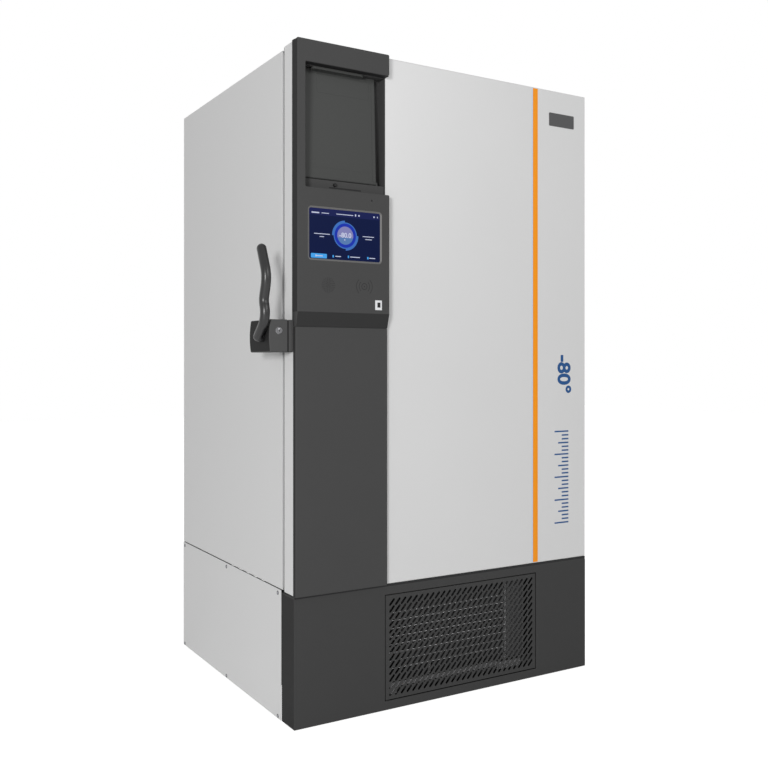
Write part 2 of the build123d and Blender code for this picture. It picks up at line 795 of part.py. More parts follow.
# Welded base frame: two wide rails, a drip pan between them, posts and cross members
rail_inset = 12
rail_width = 138
rail_z = (100, 140)
rail_wall = 3
rail_y = (door_y + fascia_sheet, back - panel_thickness)
pan_y = (door_y + 30, back - 15)
pan_z = (46, 49)
pan_lip = 20
post = 40
left_rail = (left + rail_inset, left + rail_inset + rail_width)
right_rail = (right - rail_inset - rail_width, right - rail_inset)
rail_centres = (sum(left_rail) / 2, sum(right_rail) / 2)
foot_y = (door_y + 57, back - 57)
caster_y = (door_y + 150, back - 150)
stem_radius = 8
swivel_radius = 6
socket_wall = 6
socket_length = 28
with BuildPart() as base_frame:
    for rail in (left_rail, right_rail):
        block(rail, rail_y, rail_z)
        block(
            grow(rail, -rail_wall),
            grow(rail_y, 1),
            grow(rail_z, -rail_wall),
            mode=Mode.SUBTRACT,
        )
    pan_x = (left_rail[1], right_rail[0])
    block(pan_x, pan_y, (pan_z[0], rail_z[1]))
    block(
        grow(pan_x, -rail_wall),
        grow(pan_y, -rail_wall),
        (pan_z[1], rail_z[1] + 1),
        mode=Mode.SUBTRACT,
    )
    block(
        grow(pan_x, -rail_wall),
        grow(pan_y, 1),
        (pan_z[1] + pan_lip, rail_z[1] + 1),
        mode=Mode.SUBTRACT,
    )
    for rail_x in rail_centres:
        for y in foot_y:
            bar((rail_x, y, rail_z[0]), along_z, stem_radius + socket_wall, rail_z[1] - rail_z[0])
            bar(
                (rail_x, y, rail_z[0] - 1),
                along_z,
                stem_radius + thread_clear,
                rail_z[1] - rail_z[0] + 2,
                mode=Mode.SUBTRACT,
            )
        for y in caster_y:
            bar((rail_x, y, rail_z[0]), along_z, swivel_radius + socket_wall, socket_length + rail_wall)
            bar(
                (rail_x, y, rail_z[0] - 1),
                along_z,
                swivel_radius + running_clear,
                socket_length + 1,
                mode=Mode.SUBTRACT,
            )
    for post_x in ((left_rail[0], left_rail[0] + post), (right_rail[1] - post, right_rail[1])):
        for post_y in ((door_y + 90, door_y + 90 + post), (rail_y[1] - post, rail_y[1])):
            block(post_x, post_y, (rail_z[1], cabinet_bottom))
base_frame.part.label = "base_frame"
export_step(base_frame.part, "parts/base_frame.step")

# Levelling feet: threaded stems with pads, locked by nuts under the rails
pad_radius = 25
pad_height = 12
with BuildPart() as levelling_feet:
    for rail_x in rail_centres:
        for y in foot_y:
            bar((rail_x, y, 0), along_z, pad_radius, pad_height)
            bar((rail_x, y, 0), along_z, stem_radius, rail_z[1] + 6)
            with BuildSketch(Plane.XY.offset(rail_z[0] - 8)):
                with Locations((rail_x, y)):
                    RegularPolygon(13, 6)
            extrude(amount=8)
levelling_feet.part.label = "levelling_feet"
export_step(levelling_feet.part, "parts/levelling_feet.step")

# Casters: the front pair swivels, the rear pair is fixed, and all hang just clear of the floor
wheel_radius = 37
wheel_width = 24
wheel_lift = 2
wheel_side_gap = 1.5
fork_leg = 4
fork_top = rail_z[0] - seat_clear
fork_head = 8
fork_head_radius = 24
caster_trail = 25
axle_radius = 4
axle_z = wheel_lift + wheel_radius
leg_inner = wheel_width / 2 + wheel_side_gap


def caster_fork(x, y, trail):
    """A fork with its stem, its two legs and the axle between them."""
    bar((x, y, fork_top - fork_head), along_z, fork_head_radius, fork_head)
    bar((x, y, fork_top - 1), along_z, swivel_radius, socket_length - 2)
    for side in (-1, 1):
        leg = sorted((x + side * leg_inner, x + side * (leg_inner + fork_leg)))
        block(leg, (y + min(0, trail) - 16, y + trail + 14), (axle_z - 12, fork_top - fork_head))
    bar(
        (x - leg_inner - fork_leg, y + trail, axle_z),
        along_x,
        axle_radius,
        2 * (leg_inner + fork_leg),
    )


for side, rail_x in zip(("left", "right"), rail_centres):
    with BuildPart() as fork:
        caster_fork(rail_x, caster_y[0], caster_trail)
    fork.part.label = f"caster_fork_front_{side}"
    export_step(fork.part, f"parts/caster_fork_front_{side}.step")
    for row, y in (("front", caster_y[0] + caster_trail), ("rear", caster_y[1])):
        with BuildPart() as wheel:
            bar((rail_x - wheel_width / 2, y, axle_z), along_x, wheel_radius, wheel_width)
            fillet(wheel.edges(), 4)
            bar(
                (rail_x - wheel_width, y, axle_z),
                along_x,
                axle_radius + running_clear,
                2 * wheel_width,
                mode=Mode.SUBTRACT,
            )
        wheel.part.label = f"caster_wheel_{row}_{side}"
        export_step(wheel.part, f"parts/caster_wheel_{row}_{side}.step")

with BuildPart() as caster_forks_rear:
    for rail_x in rail_centres:
        caster_fork(rail_x, caster_y[1], 0)
caster_forks_rear.part.label = "caster_forks_rear"
export_step(caster_forks_rear.part, "parts/caster_forks_rear.step")

# Front fascia: a dark sheet folded round the front of the base
fascia_depth = 85
grille_gap = 3
grille_x = (left + 306, right - 224)
grille_z = (35, 351)
grille_axis = 6
grille_axis_y = door_y + 8
grille_pin = 2.5
grille_ear = 3
ear_offset = grille_gap + 1
corner_cut = (12, 6)
with BuildPart() as front_fascia:
    block((left, right), (door_y, door_y + fascia_depth), (skirt_bottom, base_top))
    chamfer(
        front_fascia.edges().filter_by(Axis.Y).group_by(Axis.Z)[-1].sort_by(Axis.X)[-1],
        corner_cut[1],
        corner_cut[0],
    )
    block(
        (left + fascia_sheet, right - fascia_sheet),
        (door_y + fascia_sheet, door_y + fascia_depth + 1),
        (skirt_bottom - 1, base_top - corner_cut[0] - fascia_sheet),
        mode=Mode.SUBTRACT,
    )
    block(
        (left + fascia_sheet, right - corner_cut[0] - fascia_sheet),
        (door_y + fascia_sheet, door_y + fascia_depth + 1),
        (base_top - 3 * corner_cut[0], base_top - fascia_sheet),
        mode=Mode.SUBTRACT,
    )
    block(
        (left - 1, right + 1),
        (cabinet_y, door_y + fascia_depth + 1),
        (base_top - 3 * corner_cut[0], base_top + 1),
        mode=Mode.SUBTRACT,
    )
    block(
        grow(grille_x, grille_gap),
        (door_y - 1, door_y + 2 * fascia_sheet),
        grow(grille_z, grille_gap),
        mode=Mode.SUBTRACT,
    )
    for ear in (
        (grille_z[1] + ear_offset, grille_z[1] + ear_offset + grille_ear),
        (grille_z[0] - ear_offset - grille_ear, grille_z[0] - ear_offset),
    ):
        block((grille_x[0] - 12, grille_x[0] + 14), (door_y + fascia_sheet, door_y + 16), ear)
        bar(
            (grille_x[0] + grille_axis, grille_axis_y, ear[0] - 1),
            along_z,
            grille_pin + running_clear,
            grille_ear + 2,
            mode=Mode.SUBTRACT,
        )
front_fascia.part.label = "front_fascia"
export_step(front_fascia.part, "parts/front_fascia.step")

# Grille door: a slotted panel with a returned edge, on two pins at its left
grille_return = 14
slot_pitch = (20.8, 21)
slot_count = (27, 14)
slot_size = (26.3, 5.4)
slot_slant = 48
with BuildPart() as grille_door:
    block(grille_x, (door_y, door_y + grille_return), grille_z)
    block(
        grow(grille_x, -fascia_sheet),
        (door_y + fascia_sheet, door_y + grille_return + 1),
        grow(grille_z, -fascia_sheet),
        mode=Mode.SUBTRACT,
    )
    with BuildSketch(Plane.XZ.offset(-door_y - 2 * fascia_sheet)):
        with Locations((sum(grille_x) / 2, sum(grille_z) / 2)):
            with GridLocations(*slot_pitch, *slot_count):
                SlotOverall(*slot_size, rotation=slot_slant)
    extrude(amount=3 * fascia_sheet, mode=Mode.SUBTRACT)
    pin_reach = ear_offset + grille_ear
    for pin_z in (grille_z[0] - pin_reach, grille_z[1] - 1):
        bar((grille_x[0] + grille_axis, grille_axis_y, pin_z), along_z, grille_pin, pin_reach + 1)
grille_door.part.label = "grille_door"
export_step(grille_door.part, "parts/grille_door.step")

# Lower panels of the machine compartment and their pan-head screws
panel_seam = 1.5
panel_z = (skirt_bottom, cabinet_bottom - panel_seam)
side_panel_y = (door_y + fascia_depth + 2, back)
screw_head = (5, 2.5)
screw_stem = 2.2
screw_edge = 12
screw_places = [
    (y, z)
    for y in (side_panel_y[0] + 23, (side_panel_y[0] + back) / 2, back - 16)
    for z in (panel_z[0] + 7, panel_z[1] - screw_edge)
]
for name, face, inward in (("left", left, 1), ("right", right, -1)):
    with BuildPart() as lower_panel:
        block(sorted((face - inward * panel_thickness, face)), side_panel_y, panel_z)
        for flange in (
            (panel_z[0], panel_z[0] + panel_thickness),
            (panel_z[1] - panel_thickness, panel_z[1]),
        ):
            block(sorted((face, face + inward * rail_inset)), (side_panel_y[0], back - 2), flange)
        for y, z in screw_places:
            bar(
                (face - 5, y, z),
                along_x,
                screw_stem + thread_clear,
                10,
                mode=Mode.SUBTRACT,
            )
    lower_panel.part.label = f"{name}_lower_panel"
    export_step(lower_panel.part, f"parts/{name}_lower_panel.step")

with BuildPart() as panel_screws:
    for face, outward in ((left - panel_thickness, -1), (right + panel_thickness, 1)):
        for y, z in screw_places:
            bar((face, y, z), (outward, 0, 0), *screw_head)
            bar((face, y, z), (-outward, 0, 0), screw_stem, panel_thickness)
panel_screws.part.label = "panel_screws"
export_step(panel_screws.part, "parts/panel_screws.step")

# Power inlet with its rocker switch, in the rear lower panel
inlet_x = right - 170
inlet_z = 300
inlet_plate = (64, 34)
inlet_body = (56, 28)
socket_size = (26, 18)
rocker_size = (10, 16)
rocker_hole = (11, 20)
inlet_depth = 34
socket_x = inlet_x - 12
rocker_x = inlet_x + 19
rocker_y = back - 1
louvre_size = (220, 7)
louvre_pitch = 18
louvre_rows = 12
with BuildPart() as rear_lower_panel:
    block((left + 2, right - 2), (back - panel_thickness, back), panel_z)
    with BuildSketch(Plane.XZ.offset(-back - 1)):
        for louvre_x in (mid_x - 260, mid_x + 60):
            with Locations((louvre_x, sum(panel_z) / 2)):
                with GridLocations(1, louvre_pitch, 1, louvre_rows):
                    SlotOverall(*louvre_size)
    extrude(amount=panel_thickness + 2, mode=Mode.SUBTRACT)
    block(
        span(inlet_x, inlet_body[0] + 2 * seat_clear),
        (back - 3, back + 1),
        span(inlet_z, inlet_body[1] + 2 * seat_clear),
        mode=Mode.SUBTRACT,
    )
rear_lower_panel.part.label = "rear_lower_panel"
export_step(rear_lower_panel.part, "parts/rear_lower_panel.step")

with BuildPart() as power_inlet:
    block(span(inlet_x, inlet_plate[0]), (back, back + 2), span(inlet_z, inlet_plate[1]))
    block(span(inlet_x, inlet_body[0]), (back - inlet_depth, back), span(inlet_z, inlet_body[1]))
    block(
        span(socket_x, socket_size[0]),
        (back - inlet_depth + 12, back + 3),
        span(inlet_z, socket_size[1]),
        mode=Mode.SUBTRACT,
    )
    for pin_x in (-7, 0, 7):
        block(
            span(socket_x + pin_x, 2),
            (back - inlet_depth + 11, back - 4),
            span(inlet_z + (3 if pin_x == 0 else -2), 6),
        )
    block(
        span(rocker_x, rocker_hole[0]),
        (back - 12, back + 3),
        span(inlet_z, rocker_hole[1]),
        mode=Mode.SUBTRACT,
    )
power_inlet.part.label = "power_inlet"
export_step(power_inlet.part, "parts/power_inlet.step")

with BuildPart() as power_switch_rocker:
    block(span(rocker_x, rocker_size[0]), (rocker_y - 5, rocker_y + 5), span(inlet_z, rocker_size[1]))
    fillet(power_switch_rocker.edges().filter_by(Axis.X), 1.5)
    bar(
        (rocker_x - rocker_hole[0] / 2 + running_clear, rocker_y, inlet_z),
        along_x,
        2,
        rocker_hole[0] - 2 * running_clear,
    )
power_switch_rocker.part.label = "power_switch_rocker"
export_step(power_switch_rocker.part, "parts/power_switch_rocker.step")

# Condenser: copper runs through aluminium fins, between two end plates, on the drip pan
bay_width = right_rail[0] - left_rail[1]
condenser_x = (left_rail[1] + 0.1683 * bay_width, left_rail[1] + 0.8464 * bay_width)
condenser_y = (door_y + 95, door_y + 150)
condenser_z = (pan_z[1], 345)
condenser_rows = 8
condenser_tube = 5
end_plate = 2
fin_count = 12
condenser_fins = grow(condenser_x, -end_plate)
with BuildPart() as condenser:
    for plate in ((condenser_x[0], condenser_x[0] + end_plate), (condenser_x[1] - end_plate, condenser_x[1])):
        block(plate, condenser_y, condenser_z)
    for row in range(condenser_rows):
        row_z = condenser_z[0] + 30 + row * (condenser_z[1] - condenser_z[0] - 50) / (condenser_rows - 1)
        for y in (condenser_y[0] + 14, condenser_y[1] - 14):
            bar((condenser_x[0], y, row_z), along_x, condenser_tube, condenser_x[1] - condenser_x[0])
    for fin in range(fin_count):
        fin_x = condenser_fins[0] + (fin + 0.5) * (condenser_fins[1] - condenser_fins[0]) / fin_count
        block(span(fin_x, 1), grow(condenser_y, -4), (condenser_z[0] + 12, condenser_z[1] - 2))
condenser.part.label = "condenser"
export_step(condenser.part, "parts/condenser.step")

# Fan: a shroud behind the condenser, a motor on three arms and the blade
fan_x = (condenser_x[0] + condenser_x[1]) / 2
fan_z = (condenser_z[0] + condenser_z[1]) / 2
fan_hole = 122
fan_tip = 114
fan_hub = 30
fan_blades = 5
shroud_y = (condenser_y[1], condenser_y[1] + 2)
shroud_ring = 34
motor_y = shroud_y[1] + 60
motor_radius = 45
motor_length = 60
fan_shaft = 5
blade_y = (shroud_y[1] + 12, shroud_y[1] + 40)
with BuildPart() as fan_shroud:
    block(condenser_x, shroud_y, condenser_z)
    bar((fan_x, shroud_y[0], fan_z), along_y, fan_hole + 2, shroud_ring)
    bar((fan_x, shroud_y[0] - 1, fan_z), along_y, fan_hole, shroud_ring + 2, mode=Mode.SUBTRACT)
fan_shroud.part.label = "fan_shroud"
export_step(fan_shroud.part, "parts/fan_shroud.step")

with BuildPart() as fan_motor:
    bar((fan_x, motor_y, fan_z), along_y, motor_radius, motor_length)
    bar((fan_x, blade_y[0], fan_z), along_y, fan_shaft, motor_y - blade_y[0])
    arm_y = (shroud_y[0] + shroud_ring, motor_y + 8)
    for turn in (90, 210, 330):
        foot = (
            fan_x + (fan_hole + 1) * math.cos(math.radians(turn)),
            fan_z + (fan_hole + 1) * math.sin(math.radians(turn)),
        )
        bar((foot[0], arm_y[0], foot[1]), along_y, 5, arm_y[1] - arm_y[0])
        inward = (-math.cos(math.radians(turn)), 0, -math.sin(math.radians(turn)))
        bar((foot[0], arm_y[1] - 4, foot[1]), inward, 3, fan_hole - motor_radius + 6)
fan_motor.part.label = "fan_motor"
export_step(fan_motor.part, "parts/fan_motor.step")

blade_pitch = 28
with BuildPart() as fan_blade:
    bar((fan_x, blade_y[0], fan_z), along_y, fan_hub, blade_y[1] - blade_y[0])
    for number in range(fan_blades):
        turn = 360 / fan_blades * number
        out = (math.cos(math.radians(turn)), 0, math.sin(math.radians(turn)))
        root = (fan_x, sum(blade_y) / 2, fan_z)
        with Locations(Plane(origin=root, x_dir=along_y, z_dir=out)):
            Box(
                3,
                52,
                fan_tip,
                rotation=(0, 0, blade_pitch),
                align=(Align.CENTER, Align.CENTER, Align.MIN),
            )
    bar(
        (fan_x, blade_y[0] - 10, fan_z),
        along_y,
        fan_shaft + running_clear,
        blade_y[1] - blade_y[0] + 20,
        mode=Mode.SUBTRACT,
    )
fan_blade.part.label = "fan_blade"
export_step(fan_blade.part, "parts/fan_blade.step")

# Two compressors on their feet, one for each stage of the cascade
compressor_radius = 90
compressor_dome = 40
compressor_height = 225
foot_plate = (0.2826 * bay_width, 170, 5)
grommet = (12, 8)
compressor_y = back - 397
compressor_places = {"high": left_rail[1] + 0.205 * bay_width, "low": left_rail[1] + 0.549 * bay_width}
plate_z = pan_z[1] + grommet[1]
for name, x in compressor_places.items():
    with BuildPart() as compressor:
        bar((x, compressor_y, plate_z), along_z, compressor_radius, compressor_height)
        fillet(compressor.edges().group_by(Axis.Z)[-1], compressor_dome)
        bar((x, compressor_y, plate_z + compressor_height / 3), along_z, compressor_radius + 4, 6)
        block(span(x, foot_plate[0]), span(compressor_y, foot_plate[1]), (plate_z, plate_z + foot_plate[2]))
        for foot_x in span(x, foot_plate[0] - 40):
            for foot_y_offset in span(compressor_y, foot_plate[1] - 40):
                bar((foot_x, foot_y_offset, pan_z[1]), along_z, *grommet)
    compressor.part.label = f"compressor_{name}_stage"
    export_step(compressor.part, f"parts/compressor_{name}_stage.step")

# Cascade heat exchanger, insulated, at the right of the compressors
exchanger_x = (left_rail[1] + 0.733 * bay_width, left_rail[1] + 0.954 * bay_width)
exchanger_y = (back - 457, back - 197)
exchanger_z = (pan_z[1], 330)
exchanger_corner = 30
with BuildPart() as cascade_heat_exchanger:
    block(exchanger_x, exchanger_y, exchanger_z)
    fillet(cascade_heat_exchanger.edges().filter_by(Axis.Z), exchanger_corner)
cascade_heat_exchanger.part.label = "cascade_heat_exchanger"
export_step(cascade_heat_exchanger.part, "parts/cascade_heat_exchanger.step")

# Refrigerant lines: bent copper tubes between compressors, condenser and heat exchanger
line_radius = 5
line_bend = 20
line_loop = 60
high_x = compressor_places["high"]
low_x = compressor_places["low"]
shell_back = compressor_y + compressor_radius
shell_front = compressor_y - compressor_radius
line_z = plate_z + 150
drier_length = 90
drier_radius = 14
return_y = condenser_y[1] - 14
routes = {
    "discharge": [
        (high_x, shell_front, line_z),
        (high_x, shell_front - line_loop, line_z),
        (condenser_x[0] - line_loop / 2, shell_front - line_loop, line_z),
        (condenser_x[0] - line_loop / 2, return_y, line_z),
        (condenser_x[0], return_y, line_z),
    ],
    "liquid": [
        (exchanger_x[0] + line_loop, exchanger_y[0], line_z - 60),
        (exchanger_x[0] + line_loop, shell_front - line_loop, line_z - 60),
        (condenser_x[1] + line_loop / 2, shell_front - line_loop, line_z - 60),
        (condenser_x[1] + line_loop / 2, return_y, line_z - 60),
        (condenser_x[1], return_y, line_z - 60),
    ],
    "suction": [
        (high_x, shell_back, line_z - 30),
        (high_x, shell_back + line_loop, line_z - 30),
        (exchanger_x[0], shell_back + line_loop, line_z - 30),
    ],
}
with BuildPart() as refrigerant_lines:
    for route in routes.values():
        with BuildLine() as run:
            FilletPolyline(*route, radius=line_bend)
        first_run = run.edges()[0]
        with BuildSketch(Plane(origin=first_run @ 0, z_dir=first_run % 0)):
            Circle(line_radius)
        sweep(path=run.wires()[0])
    shell_right = low_x + compressor_radius
    bar((shell_right, compressor_y, line_z), along_x, line_radius, exchanger_x[0] - shell_right)
    bar(
        (condenser_x[1] + line_loop / 2, return_y + line_loop, line_z - 60),
        along_y,
        drier_radius,
        drier_length,
    )
refrigerant_lines.part.label = "refrigerant_lines"
export_step(refrigerant_lines.part, "parts/refrigerant_lines.step")

# Electrical box of the control board and relays, beside the condenser
box_wall = 2
box_x = (left_rail[0] + post + 4, condenser_x[0] - line_loop)
box_y = (door_y + 200, door_y + 420)
box_z = (rail_z[1], cabinet_bottom - 60)
with BuildPart() as electrical_box:
    block(box_x, box_y, box_z)
    block(grow(box_x, -box_wall), grow(box_y, -box_wall), grow(box_z, -box_wall), mode=Mode.SUBTRACT)
electrical_box.part.label = "electrical_box"
export_step(electrical_box.part, "parts/electrical_box.step")
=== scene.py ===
import json
import math

import bmesh
import bpy
import numpy as np
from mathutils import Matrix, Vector
from mathutils.geometry import delaunay_2d_cdt


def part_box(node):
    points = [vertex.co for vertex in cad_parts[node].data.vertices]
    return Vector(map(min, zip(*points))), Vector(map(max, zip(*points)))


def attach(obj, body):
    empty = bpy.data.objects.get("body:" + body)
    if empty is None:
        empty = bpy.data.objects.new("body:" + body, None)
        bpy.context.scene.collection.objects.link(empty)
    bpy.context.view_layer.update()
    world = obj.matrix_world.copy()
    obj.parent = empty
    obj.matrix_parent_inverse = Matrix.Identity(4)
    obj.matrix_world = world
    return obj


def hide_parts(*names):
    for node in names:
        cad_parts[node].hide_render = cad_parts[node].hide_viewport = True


# Ultra low temperature freezer: white steel cabinet, dark control column, lever latch and machine base.
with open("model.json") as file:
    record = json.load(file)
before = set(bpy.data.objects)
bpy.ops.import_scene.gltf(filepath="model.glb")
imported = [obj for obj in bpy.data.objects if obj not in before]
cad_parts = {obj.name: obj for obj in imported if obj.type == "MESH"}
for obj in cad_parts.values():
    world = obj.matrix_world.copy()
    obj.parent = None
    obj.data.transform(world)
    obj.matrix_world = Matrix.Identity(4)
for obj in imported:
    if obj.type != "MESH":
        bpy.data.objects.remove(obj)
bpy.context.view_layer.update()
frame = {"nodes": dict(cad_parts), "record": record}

# The camera stands in front and to the left, level with the control column, as a product photographer's
# would. It is turned towards the cabinet's right, and its lens is shifted to keep uprights upright.
image_side = 768
focal_pixels = 924.9
horizon_row = 364.2
camera_data = bpy.data.cameras.new("photo_camera")
camera_data.sensor_width = 36
camera_data.lens = focal_pixels / image_side * camera_data.sensor_width
camera_data.shift_y = (horizon_row - image_side / 2) / image_side
camera = bpy.data.objects.new("photo_camera", camera_data)
camera.location = (-1.6573, -2.8768, 1.0521)
camera.rotation_euler = (math.pi / 2, 0, -0.5406)
bpy.context.scene.collection.objects.link(camera)
bpy.context.scene.camera = camera
bpy.context.scene.view_settings.view_transform = "Standard"


# The studio: a white room that the camera and gloss see, with a calmer light on the object itself. A soft
# key lamp at the left and a wide lamp at the front right leave the door's face the lightest side, and the
# key lamp throws the latch's and the lever's shadows back along the cabinet's side.
def white_to_the_eye(tree, hidden, shown):
    """Two shaders mixed: camera, glossy and transmission rays see the shown one, others the hidden one."""
    path, choice = tree.nodes.new("ShaderNodeLightPath"), tree.nodes.new("ShaderNodeMixShader")
    first, second = tree.nodes.new("ShaderNodeMath"), tree.nodes.new("ShaderNodeMath")
    first.operation = second.operation = "MAXIMUM"
    tree.links.new(path.outputs["Is Camera Ray"], first.inputs[0])
    tree.links.new(path.outputs["Is Glossy Ray"], first.inputs[1])
    tree.links.new(first.outputs[0], second.inputs[0])
    tree.links.new(path.outputs["Is Transmission Ray"], second.inputs[1])
    tree.links.new(second.outputs[0], choice.inputs[0])
    tree.links.new(hidden, choice.inputs[1])
    tree.links.new(shown, choice.inputs[2])
    return choice.outputs[0]


def soft_lamp(name, place, aim, size, watts):
    """A square lamp at a place, turned to shine at its aim."""
    lamp = bpy.data.lights.new(name, "AREA")
    lamp.energy, lamp.size = watts, size
    holder = bpy.data.objects.new(name, lamp)
    holder.location = place
    holder.rotation_euler = (Vector(aim) - Vector(place)).to_track_quat("-Z", "Y").to_euler()
    bpy.context.scene.collection.objects.link(holder)


room = bpy.data.worlds.new("white_room")
bpy.context.scene.world = room
room.use_nodes = True
room.node_tree.nodes.clear()
seen, lighting, world_out = (room.node_tree.nodes.new(f"ShaderNode{kind}") for kind in (
    "Background", "Background", "OutputWorld"))
seen.inputs["Color"].default_value = (1, 1, 1, 1)
lighting.inputs["Color"].default_value = (1, 1, 1, 1)
lighting.inputs["Strength"].default_value = 0.27
room_light = white_to_the_eye(room.node_tree, lighting.outputs[0], seen.outputs[0])
room.node_tree.links.new(room_light, world_out.inputs["Surface"])
soft_lamp("key_lamp", (-3.9, -3.9, 1.8), (-0.3, -0.3, 1.05), 1.0, 136)
soft_lamp("front_lamp", (1.2, -5.2, 3.4), (0.1, -0.5, 1.2), 2.2, 64)

# The floor is pale and matt. It keeps the shadow of the cabinet and is otherwise as white as the room. Its
# glow is only for the eye, so the renderer looks for no light from it.
floor_reach = 15
floor_corners = [(x * floor_reach, y * floor_reach, 0) for x, y in ((-1, -1), (1, -1), (1, 1), (-1, 1))]
floor_mesh = bpy.data.meshes.new("studio_floor")
floor_mesh.from_pydata(floor_corners, [], [(0, 1, 2, 3)])
floor = bpy.data.objects.new("studio_floor", floor_mesh)
bpy.context.scene.collection.objects.link(floor)
floor_finish = bpy.data.materials.new("studio_floor")
floor_finish.use_nodes = True
floor_finish.cycles.emission_sampling = "NONE"
tree = floor_finish.node_tree
tree.nodes.clear()
matt, glow, both, floor_out = (tree.nodes.new(f"ShaderNode{kind}") for kind in (
    "BsdfDiffuse", "Emission", "AddShader", "OutputMaterial"))
matt.inputs["Color"].default_value = (0.75, 0.75, 0.75, 1)
glow.inputs["Strength"].default_value = 0.85
tree.links.new(matt.outputs[0], both.inputs[0])
tree.links.new(glow.outputs[0], both.inputs[1])
tree.links.new(white_to_the_eye(tree, matt.outputs[0], both.outputs[0]), floor_out.inputs["Surface"])
floor_mesh.materials.append(floor_finish)

# Cabinet shell: one white powder-coated steel sheet, folded round the foam with small round bends and
# returned at the front, where the breaker frame meets it. The back has the access port's hole.
front_view = [0, 2, 1]
side_view = [2, 0, 1]
plan_view = [0, 1, 2]


def tint(red, green, blue):
    """A colour from its 0 to 255 screen values, as the linear light that shaders use."""
    screen = np.array([red, green, blue]) / 255
    linear = np.where(screen > 0.04045, ((screen + 0.055) / 1.055) ** 2.4, screen / 12.92)
    return (*linear.tolist(), 1)


def coated(name, colour, roughness, grain, lift, mottle=0.04, metallic=0.0, shine=0.3, stretch=(1, 1, 1)):
    """A finish of one colour: wide noise shades it and its gloss, fine grain lifts its surface a little."""
    finish = bpy.data.materials.new(name)
    finish.use_nodes = True
    nodes, links = finish.node_tree.nodes, finish.node_tree.links
    shader = nodes["Principled BSDF"]
    shader.inputs["Metallic"].default_value = metallic
    shader.inputs["Specular IOR Level"].default_value = shine
    place, turned = nodes.new("ShaderNodeTexCoord"), nodes.new("ShaderNodeMapping")
    turned.inputs["Scale"].default_value = stretch
    links.new(place.outputs["Object"], turned.inputs["Vector"])
    wide, fine = nodes.new("ShaderNodeTexNoise"), nodes.new("ShaderNodeTexNoise")
    wide.inputs["Scale"].default_value = 5
    wide.inputs["Detail"].default_value = 4
    fine.inputs["Scale"].default_value = 1 / grain
    fine.inputs["Detail"].default_value = 3
    links.new(turned.outputs["Vector"], wide.inputs["Vector"])
    links.new(turned.outputs["Vector"], fine.inputs["Vector"])
    blend, shade, gloss = (nodes.new(f"ShaderNode{kind}") for kind in ("Math", "Mix", "MapRange"))
    blend.operation = "MULTIPLY_ADD"
    blend.inputs[1].default_value = 0.35
    links.new(fine.outputs["Fac"], blend.inputs[0])
    links.new(wide.outputs["Fac"], blend.inputs[2])
    shade.data_type = "RGBA"
    shade.inputs["A"].default_value = tuple(part * (1 - mottle) for part in colour[:3]) + (1,)
    shade.inputs["B"].default_value = tuple(min(1, part * (1 + mottle)) for part in colour[:3]) + (1,)
    links.new(blend.outputs[0], shade.inputs["Factor"])
    links.new(shade.outputs["Result"], shader.inputs["Base Color"])
    gloss.inputs["To Min"].default_value = roughness * 0.88
    gloss.inputs["To Max"].default_value = roughness * 1.12
    links.new(blend.outputs[0], gloss.inputs["Value"])
    links.new(gloss.outputs["Result"], shader.inputs["Roughness"])
    bump = nodes.new("ShaderNodeBump")
    bump.inputs["Distance"].default_value = lift
    bump.inputs["Strength"].default_value = 0.6
    links.new(fine.outputs["Fac"], bump.inputs["Height"])
    links.new(bump.outputs["Normal"], shader.inputs["Normal"])
    return finish


def rounded(corners, radii, steps=4):
    """A closed outline with a round at each corner: an arc that touches both of the corner's sides."""
    corners = np.array(corners, float)
    radii = np.broadcast_to(radii, len(corners))
    before, after = np.roll(corners, 1, 0) - corners, np.roll(corners, -1, 0) - corners
    before /= np.linalg.norm(before, axis=1, keepdims=True)
    after /= np.linalg.norm(after, axis=1, keepdims=True)
    half = np.arccos(np.clip(np.sum(before * after, axis=1), -1, 1)) / 2
    arcs = []
    for corner, back, ahead, radius, angle in zip(corners, before, after, radii, half):
        if radius == 0:
            arcs.append(corner[None])
            continue
        centre = corner + (back + ahead) / np.linalg.norm(back + ahead) * radius / math.sin(angle)
        start, end = (corner + way * radius / math.tan(angle) - centre for way in (back, ahead))
        turn = math.atan2(start[0] * end[1] - start[1] * end[0], start @ end) * np.linspace(0, 1, steps + 1)
        across = np.array([-start[1], start[0]])
        arcs.append(centre + np.outer(np.cos(turn), start) + np.outer(np.sin(turn), across))
    return np.concatenate(arcs)


def rectangle(low, high, radius=0.0, steps=4):
    """An anticlockwise rectangle between two corners, with round corners."""
    return rounded([low, (high[0], low[1]), high, (low[0], high[1])], radius, steps)


def circle(centre, radius, steps=32):
    """An anticlockwise ring of points round a centre."""
    turn = np.arange(steps) * 2 * math.pi / steps
    return np.array(centre) + radius * np.column_stack([np.cos(turn), np.sin(turn)])


def moved_in(outline, distance):
    """An anticlockwise outline moved inwards: a point follows both sides' normals, further at a corner."""
    ahead = np.roll(outline, -1, 0) - outline
    ahead /= np.linalg.norm(ahead, axis=1, keepdims=True)
    inward = np.column_stack([-ahead[:, 1], ahead[:, 0]])
    before = np.roll(inward, 1, 0)
    return outline + distance * (inward + before) / (1 + np.sum(inward * before, axis=1, keepdims=True))


def roll(radius, depth, way, start=0.0, steps=3):
    """Profile rows of a round edge, a quarter circle from the face at a depth onto the side behind it."""
    turn = np.linspace(0, math.pi / 2, steps + 1)
    inwards = start + radius * (1 - np.sin(turn))
    return np.column_stack([inwards, depth + way * radius * (1 - np.cos(turn))]).tolist()


def band(count, start):
    """Four-sided faces between two rings of points that follow each other."""
    turn = np.arange(count)
    ahead = (turn + 1) % count
    return (np.column_stack([turn, ahead, ahead + count, turn + count]) + start).tolist()


